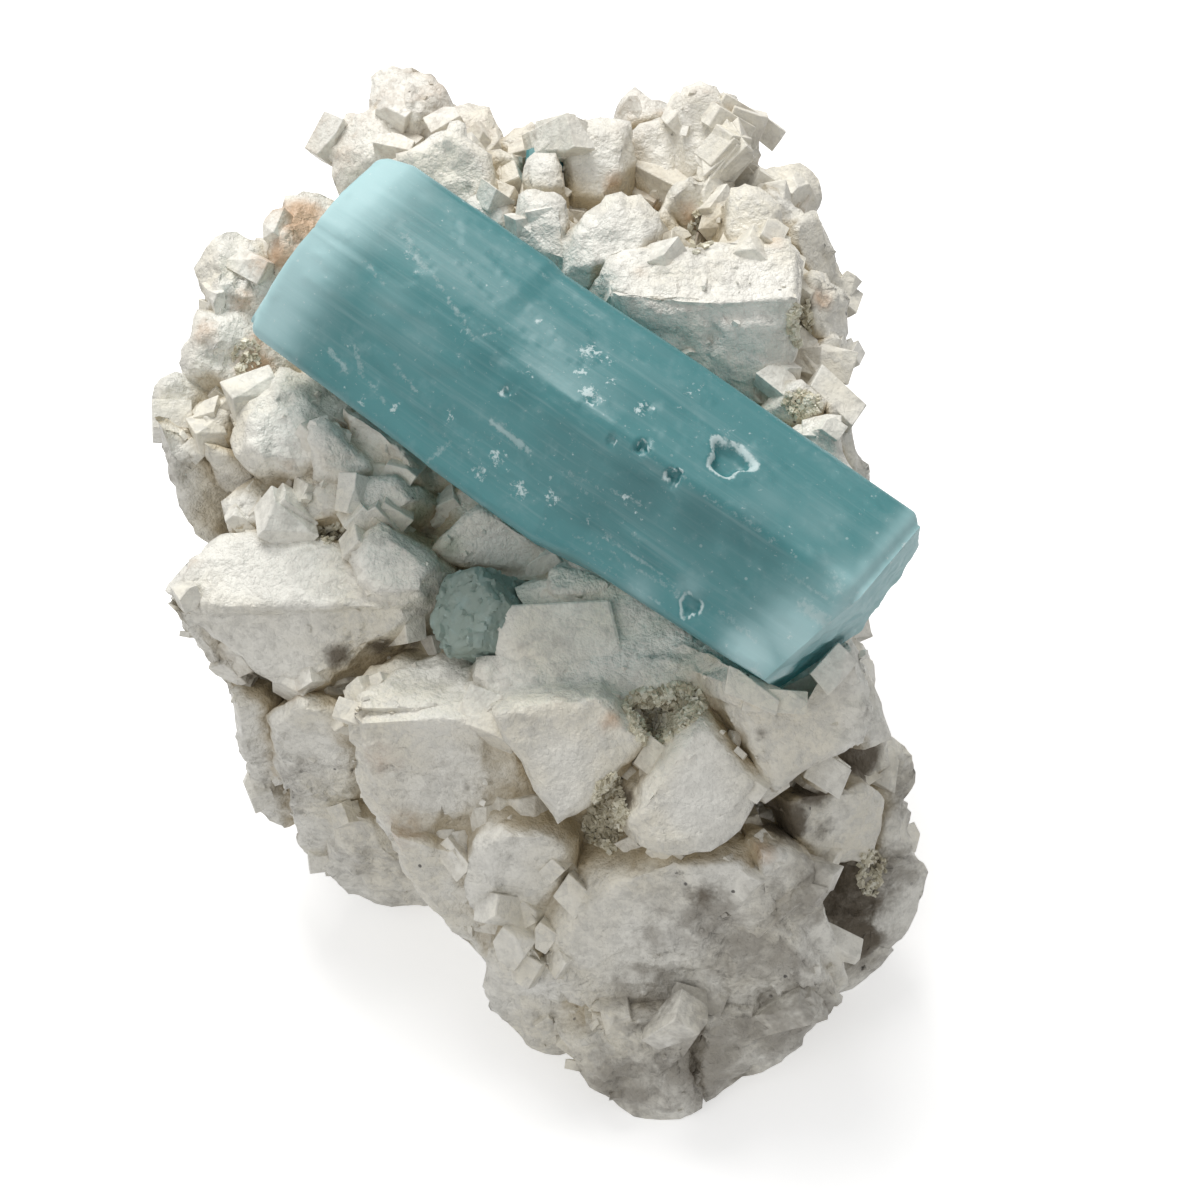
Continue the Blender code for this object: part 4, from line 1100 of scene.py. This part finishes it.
class SPECIMEN_OT_albite_grains(bpy.types.Operator):
    """Sets crisp small albite crystals over the rock"""

    bl_idname = "specimen.albite_grains"
    bl_label = "Albite grains"

    def execute(self, context):
        look = context.scene.specimen_rock
        radius = context.scene.specimen_beryl.radius / MM
        rng = random.Random(GRAIN_SEED)
        rock = bpy.data.objects["albite_rock"]
        tree = tree_of(rock.data)
        front_tree = tree_of(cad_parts["aquamarine_small_front"].data)
        templates = [grain_template(rng) for _ in range(GRAIN_SHAPES)]
        rows = []
        for place, normal in scattered(rock.data, look.grains * 3, rng, 1.2 * MM):
            sugar = noise.fractal(place / (10.0 * MM), 1.0, 2.0, 2) + 0.1
            crowd = crowding(tree, place, normal, 3.0 * MM)
            if rng.random() > sugar * 0.9 + crowd * 0.5:
                continue
            big = min(0.4 * math.exp(rng.gauss(0.3, 0.45)), 1.8)
            at = place + normal * (big * rng.uniform(-0.12, 0.22)) * MM
            if not clear_of_beryl(at, radius, front_tree, big * 0.5 * MM):
                continue
            size = [big * rng.uniform(0.8, 1.4) * MM, big * rng.uniform(0.6, 1.0) * MM,
                    big * rng.uniform(0.5, 0.9) * MM]
            turn = shared_turn(place, 5.0 * MM, rng, 0.22)
            rows.append((block_matrix(at, turn, size), rng.randrange(len(templates))))
            if len(rows) >= look.grains:
                break
        mesh = gather("albite grains", rows, templates)
        keep_above_floor(mesh)
        stain(mesh, tree)
        mesh.materials.append(albite_material("albite grains", look, crisp=True))
        grains = new_object("albite_grains", mesh)
        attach(grains, "root")
        return {"FINISHED"}


class SPECIMEN_OT_mica_grains(bpy.types.Operator):
    """Sets granular mica into its patches"""

    bl_idname = "specimen.mica_grains"
    bl_label = "Granular mica"

    def execute(self, context):
        look = context.scene.specimen_rock
        rng = random.Random(MICA_SEED)
        rock = bpy.data.objects["albite_rock"]
        tree = tree_of(rock.data)
        templates = [grain_template(rng) for _ in range(MICA_SHAPES)]
        rows = []
        for x, y, wide, high, count in MICA_PATCHES:
            for _ in range(count):
                angle, reach = rng.uniform(0, math.tau), math.sqrt(rng.random())
                reach *= 0.8 + 0.4 * noise.noise(Vector((math.cos(angle), math.sin(angle), x)))
                hit = seen_on(tree, x + wide * reach * math.cos(angle),
                              y + high * reach * math.sin(angle))
                if hit is None:
                    continue
                big = rng.uniform(0.3, 0.65)
                turn = Quaternion([rng.gauss(0, 1) for _ in range(4)]).normalized()
                at = hit[0] + hit[1] * (big * rng.uniform(-0.1, 0.35)) * MM
                size = [big * rng.uniform(0.8, 1.3) * MM, big * MM,
                        big * rng.uniform(0.3, 0.8) * MM]
                rows.append((block_matrix(at, turn, size, 0.1), rng.randrange(len(templates))))
        mesh = gather("mica grains", rows, templates)
        mesh.materials.append(mica_material(look))
        grains = new_object("mica_grains", mesh)
        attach(grains, "root")
        return {"FINISHED"}


# ---------------------------------------------------------------- the aquamarine

SIDE_STEPS = 30          # points on each of the six sides
LENGTH_STEPS = 210       # rings along the prism
CAP_STEPS = 30           # rings on each end face
CAP_ROUND = 1.3          # rounding of the edge round each end, millimetres


def tube(around, rings):
    """An open tube of rings, spun along Z, with unit spacing."""
    bm = bmesh.new()
    bmesh.ops.create_circle(bm, segments=around, radius=1.0)
    bmesh.ops.spin(bm, geom=bm.edges[:] + bm.verts[:], axis=(0, 0, 1), cent=(0, 0, 0),
                   dvec=(0, 0, 1), angle=0.0, steps=rings - 1, use_duplicate=False)
    for height in (0.0, rings - 1.0):
        rim = [e for e in bm.edges if e.is_boundary
               and abs(e.verts[0].co.z - height) < 0.1 and abs(e.verts[1].co.z - height) < 0.1]
        bmesh.ops.contextual_create(bm, geom=rim)
    return bm


def prism_surface(ring, angle, radius):
    """Places on the prism, in its own millimetres, for rings and angles round it.

    Returns the place across the axis, the place along it, how far a ring is into an end
    face, and the share of the side that lies behind the place.
    """
    last = 2 * CAP_STEPS + LENGTH_STEPS - 1
    left, right = STATIONS[0][0], STATIONS[-1][0]
    along = left + (ring - CAP_STEPS) / (LENGTH_STEPS - 1) * (right - left)
    along = np.clip(along, left, right)
    cap = np.maximum(CAP_STEPS - ring, ring - (last - CAP_STEPS)) / CAP_STEPS
    cap = np.clip(cap, 0.0, 1.0)
    turn = np.mod(angle, 1.0) * SIDES
    side = np.floor(turn).astype(int) % SIDES
    share = turn - np.floor(turn)
    place = np.zeros((len(ring), 2))
    reach = np.zeros(len(ring))
    for corner in range(SIDES):
        theta = math.radians(PRISM_TURN + CORNER_ANGLE * corner)
        spread = corner_shares(along, corner) * radius
        weight = np.where(side == corner, 1.0 - share, 0.0)
        weight = np.where((side + 1) % SIDES == corner, share, weight)
        place[:, 0] += weight * spread * math.sin(theta)
        place[:, 1] += weight * spread * math.cos(theta)
        end = np.where(along < 0, LEFT_REACH[corner], RIGHT_REACH[corner])
        reach += weight * end
    # The upper edge fades out towards the left end.
    off = np.abs(np.mod(turn + SIDES / 2, SIDES) - SIDES / 2)
    eased = np.clip((6.0 - along) / 14.0, 0.0, 1.0) * np.clip(1.0 - off / 0.62, 0.0, 1.0) ** 2
    place *= (1.0 - 0.15 * eased)[:, None]
    share = np.where(eased > 0.3, 0.5, share)
    near_end = np.clip((np.abs(along) - 28.0) / 6.0, 0.0, 1.0)
    along = along + reach * near_end * (1.0 - cap)
    return place, along, cap, share


def striae(place_round, along, seed):
    """Growth lines along the prism: fine and coarse ridges that come and go."""
    out = np.empty(len(along))
    for i, (u, v) in enumerate(zip(place_round, along)):
        fine = noise.noise(Vector((u * 2.6, v * 0.035, seed)))
        coarse = noise.noise(Vector((u * 0.8, v * 0.05, seed + 9.0)))
        step = noise.noise(Vector((u * 0.45, v * 0.09, seed + 17.0)))
        out[i] = fine * 0.35 + coarse * 0.6 + (0.9 if step > 0.12 else 0.0)
    return out


def prism_mesh(settings):
    """The large prism: striated sides, rough ends, rounded edges."""
    radius = settings.radius / MM
    around = SIDE_STEPS * SIDES
    rings = 2 * CAP_STEPS + LENGTH_STEPS
    mesh = mesh_from("aquamarine prism", tube(around, rings))
    raw = read_points(mesh)
    angle = np.mod(np.arctan2(raw[:, 1], raw[:, 0]) / math.tau, 1.0)
    angle = np.round(angle * around) / around
    place, along, cap, share = prism_surface(raw[:, 2], angle, radius)
    perimeter = angle * SIDES * radius
    ridge = np.minimum(share, 1.0 - share)
    edge_calm = np.clip(ridge / 0.06, 0.25, 1.0)
    lift = striae(perimeter, along, 4.0) * settings.striae / MM * edge_calm
    length = np.linalg.norm(place, axis=1)
    direction = place / np.maximum(length, 1e-6)[:, None]
    soften = 1.0 - 0.018 * np.clip(1.0 - ridge / 0.05, 0.0, 1.0) ** 2
    place = place * soften[:, None] + direction * (lift * (cap < 0.01))[:, None]
    to_left = along - (STATIONS[0][0] - 0.2)
    to_right = (STATIONS[-1][0] + 0.4) - along
    near = np.clip(1.0 - np.minimum(to_left, to_right) / CAP_ROUND, 0.0, 1.0)
    place *= (1.0 - (1.0 - np.sqrt(1.0 - 0.95 * near ** 2)) * CAP_ROUND / radius)[:, None]
    place *= np.where(cap > 0, np.clip(1.0 - cap, 0.02, 1.0), 1.0)[:, None]
    bulge = np.where(along < 0, -1.0, 1.0) * np.where(cap > 0, 1.0, 0.0)
    rough = np.array([noise.fractal(Vector((x * 0.35, y * 0.35, 3.0)), 1.0, 2.0, 3)
                      for x, y in place])
    along = along + bulge * (np.sqrt(cap) * 0.5 + rough * 0.45 * np.clip(cap * 6, 0, 1))
    centre, axis = np.array(PRISM_CENTRE), np.array(PRISM_ALONG)
    across, outward = np.array(PRISM_ACROSS), np.array(PRISM_OUTWARD)
    world = centre + (along[:, None] * axis + place[:, :1] * across + place[:, 1:] * outward) * MM
    write_points(mesh, world)
    turned = bmesh_of(mesh)
    bmesh.ops.recalc_face_normals(turned, faces=turned.faces[:])
    turned.to_mesh(mesh)
    turned.free()
    return mesh


def etch_pits(mesh):
    """Sink the etched pits, and return the strength of their rims."""
    tree = tree_of(mesh)
    points = read_points(mesh)
    rim = np.zeros(len(points))
    for index, (x, y, radius, depth) in enumerate(PITS):
        hit = seen_on(tree, x, y)
        if hit is None:
            raise RuntimeError(f"pit {index} misses the prism")
        offset = points - np.array(hit[0])
        normal = np.array(hit[1])
        flat = offset - (offset @ normal)[:, None] * normal
        a = flat @ np.array(PRISM_ALONG)
        b = flat @ np.array(Vector(normal).cross(PRISM_ALONG))
        bearing = np.arctan2(b, a)
        uneven = 1.0 + 0.16 * np.sin(bearing * 3 + index * 2.1) + 0.1 * np.sin(bearing * 5 + index)
        reach = np.hypot(a, b) / (radius * MM * uneven)
        close = np.linalg.norm(offset, axis=1) < radius * 2.5 * MM
        sink = np.clip((1.0 - reach) / 0.45, 0.0, 1.0) * close
        points -= normal * (sink * depth * MM)[:, None]
        edge = np.exp(-((reach - 0.95) / 0.2) ** 2) * close
        rim = np.maximum(rim, edge * 0.95)
    write_points(mesh, points)
    return rim


def wisp_strength(mesh, tree):
    """How strongly the white wisps cover each point."""
    points = read_points(mesh)
    value = np.zeros(len(points))
    for x0, y0, x1, y1, width, strength in WISPS:
        first, second = seen_on(tree, x0, y0), seen_on(tree, x1, y1)
        if not first or not second:
            continue
        start, end = np.array(first[0]), np.array(second[0])
        span = end - start
        share = np.clip((points - start) @ span / (span @ span), 0.0, 1.0)
        distance = np.linalg.norm(points - start - share[:, None] * span, axis=1)
        value = np.maximum(value, smooth_fall(distance, width * 1.5 * MM) * strength)
    return value


class SPECIMEN_OT_large_prism(bpy.types.Operator):
    """Builds the large aquamarine prism"""

    bl_idname = "specimen.large_prism"
    bl_label = "Large aquamarine"

    def execute(self, context):
        look = context.scene.specimen_beryl
        mesh = prism_mesh(look)
        tree = tree_of(mesh)
        rim = etch_pits(mesh)
        store(mesh, "rim", rim)
        store(mesh, "wisp", wisp_strength(mesh, tree))
        paint_spots(mesh, "fleck", spots_on(tree, FLECKS))
        # Pale ends, partly milky cloud and partly painted light, and deep places of painted shade.
        along = (read_points(mesh) - np.array(PRISM_CENTRE)) @ np.array(PRISM_ALONG)
        ends = np.maximum(smooth_fall(along + 34.0 * MM, 12.0 * MM),
                          np.clip(along / MM - 32.5, 0.0, 3.0) * 0.25)
        paint_spots(mesh, "pale", spots_on(tree, PALE_AND_LIT_SPOTS), ends)
        paint_spots(mesh, "deep", spots_on(tree, DEEP_SHADE_SPOTS))
        shade(mesh, 50.0)
        mesh.materials.append(beryl_material("aquamarine", look, 0.62, look.density, look.body))
        prism = new_object("aquamarine_prism", mesh)
        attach(prism, "root")
        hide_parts("aquamarine_crystal")
        return {"FINISHED"}


class SPECIMEN_OT_small_prisms(bpy.types.Operator):
    """Finishes the two small aquamarines"""

    bl_idname = "specimen.small_prisms"
    bl_label = "Small aquamarines"

    def execute(self, context):
        look = context.scene.specimen_beryl
        bm = bmesh_of(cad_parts["aquamarine_small_front"].data)
        bmesh.ops.remove_doubles(bm, verts=bm.verts[:], dist=JOIN)
        bmesh.ops.bevel(bm, geom=bm.edges[:], affect="EDGES", offset=0.25 * MM, segments=2,
                        profile=0.5, material=-1)
        first, second = sight_line(552, 588)[1], sight_line(490, 662)[1]
        side = first.cross(second).normalized()
        if side.dot(sight_line(540, 650)[1]) < 0.0:
            side.negate()
        cut_away(bm, EYE, side)
        mesh = with_modifier(mesh_from("front prism", bm), "REMESH", mode="VOXEL",
                             voxel_size=0.22 * MM, adaptivity=0.0)
        points = read_points(mesh)
        normals = read_normals(mesh)
        lift = cell_relief(points, 1.3, 0.35, 0.5, 6.0)
        lift += soft_relief(points, 0.7, 2, 7.0) * 0.08 * MM
        write_points(mesh, points + normals * lift[:, None])
        mesh = thin_to(mesh, FRONT_TRIANGLES)
        shade(mesh, 40.0)
        mesh.materials.clear()
        mesh.materials.append(beryl_material("dark aquamarine", look, 0.4, look.density,
                                             look.dark))
        front = new_object("aquamarine_front", mesh)
        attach(front, "root")
        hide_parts("aquamarine_small_front")
        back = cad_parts["aquamarine_small_back"]
        back.data.materials.clear()
        back.data.materials.append(beryl_material("pale aquamarine", look, 0.6, look.density,
                                                  look.body))
        return {"FINISHED"}


# ---------------------------------------------------------------- stage

def area_light(name, place, side, power):
    """A soft square light that looks at the specimen."""
    data = bpy.data.lights.new(name, "AREA")
    data.shape = "SQUARE"
    data.size = side
    data.energy = power
    data.color = LIGHT_TINT
    item = new_object(name, data)
    item.location = place
    item.rotation_euler = (FACE_MIDDLE - Vector(place)).to_track_quat("-Z", "Y").to_euler()


class SPECIMEN_OT_stage(bpy.types.Operator):
    """Sets floor, lights and camera"""

    bl_idname = "specimen.stage"
    bl_label = "Stage"

    def execute(self, context):
        scene = context.scene
        look = scene.specimen_stage
        bm = bmesh.new()
        bmesh.ops.create_grid(bm, x_segments=1, y_segments=1, size=look.floor_size / 2)
        floor = new_object("floor", mesh_from("floor", bm))
        floor.data.materials.append(floor_material(look))
        floor.visible_diffuse = False
        area_light("key", KEY_PLACE, KEY_SIDE, look.key)
        area_light("fill", FILL_PLACE, FILL_SIDE, look.fill)
        world = bpy.data.worlds.new("room")
        world.use_nodes = True
        back = world.node_tree.nodes["Background"]
        back.inputs["Color"].default_value = rgb(WHITE)
        back.inputs["Strength"].default_value = look.sky
        scene.world = world
        data = bpy.data.cameras.new("camera")
        data.sensor_width = SENSOR
        data.lens = SENSOR * SIGHT / FIELD
        camera = new_object("camera", data)
        camera.location = EYE
        camera.rotation_euler = (-OUT).to_track_quat("-Z", "Y").to_euler()
        scene.camera = camera
        scene.view_settings.view_transform = "Standard"
        return {"FINISHED"}


OPERATORS = (
    SPECIMEN_OT_stage,
    SPECIMEN_OT_albite_rock,
    SPECIMEN_OT_albite_blocks,
    SPECIMEN_OT_albite_grains,
    SPECIMEN_OT_mica_grains,
    SPECIMEN_OT_large_prism,
    SPECIMEN_OT_small_prisms,
)


class SPECIMEN_PT_panel(bpy.types.Panel):
    """Lists the pieces and their settings"""

    bl_label = "Specimen"
    bl_idname = "SPECIMEN_PT_panel"
    bl_space_type = "VIEW_3D"
    bl_region_type = "UI"
    bl_category = "Specimen"

    def draw(self, context):
        for group in (context.scene.specimen_rock, context.scene.specimen_beryl,
                      context.scene.specimen_stage):
            box = self.layout.box()
            for name in group.__annotations__:
                box.prop(group, name)
        for operator in OPERATORS:
            self.layout.operator(operator.bl_idname)


CLASSES = (RockSettings, BerylSettings, StageSettings) + OPERATORS + (SPECIMEN_PT_panel,)


def register():
    """Make the settings, operators and panel known."""
    for item in CLASSES:
        bpy.utils.register_class(item)
    bpy.types.Scene.specimen_rock = PointerProperty(type=RockSettings)
    bpy.types.Scene.specimen_beryl = PointerProperty(type=BerylSettings)
    bpy.types.Scene.specimen_stage = PointerProperty(type=StageSettings)


def unregister():
    """Forget them again."""
    del bpy.types.Scene.specimen_rock
    del bpy.types.Scene.specimen_beryl
    del bpy.types.Scene.specimen_stage
    for item in reversed(CLASSES):
        bpy.utils.unregister_class(item)


def main():
    """Build the whole specimen."""
    register()
    bpy.ops.specimen.stage()
    bpy.ops.specimen.albite_rock()
    bpy.ops.specimen.albite_blocks()
    bpy.ops.specimen.albite_grains()
    bpy.ops.specimen.mica_grains()
    bpy.ops.specimen.large_prism()
    bpy.ops.specimen.small_prisms()


if __name__ == "__main__":
    main()
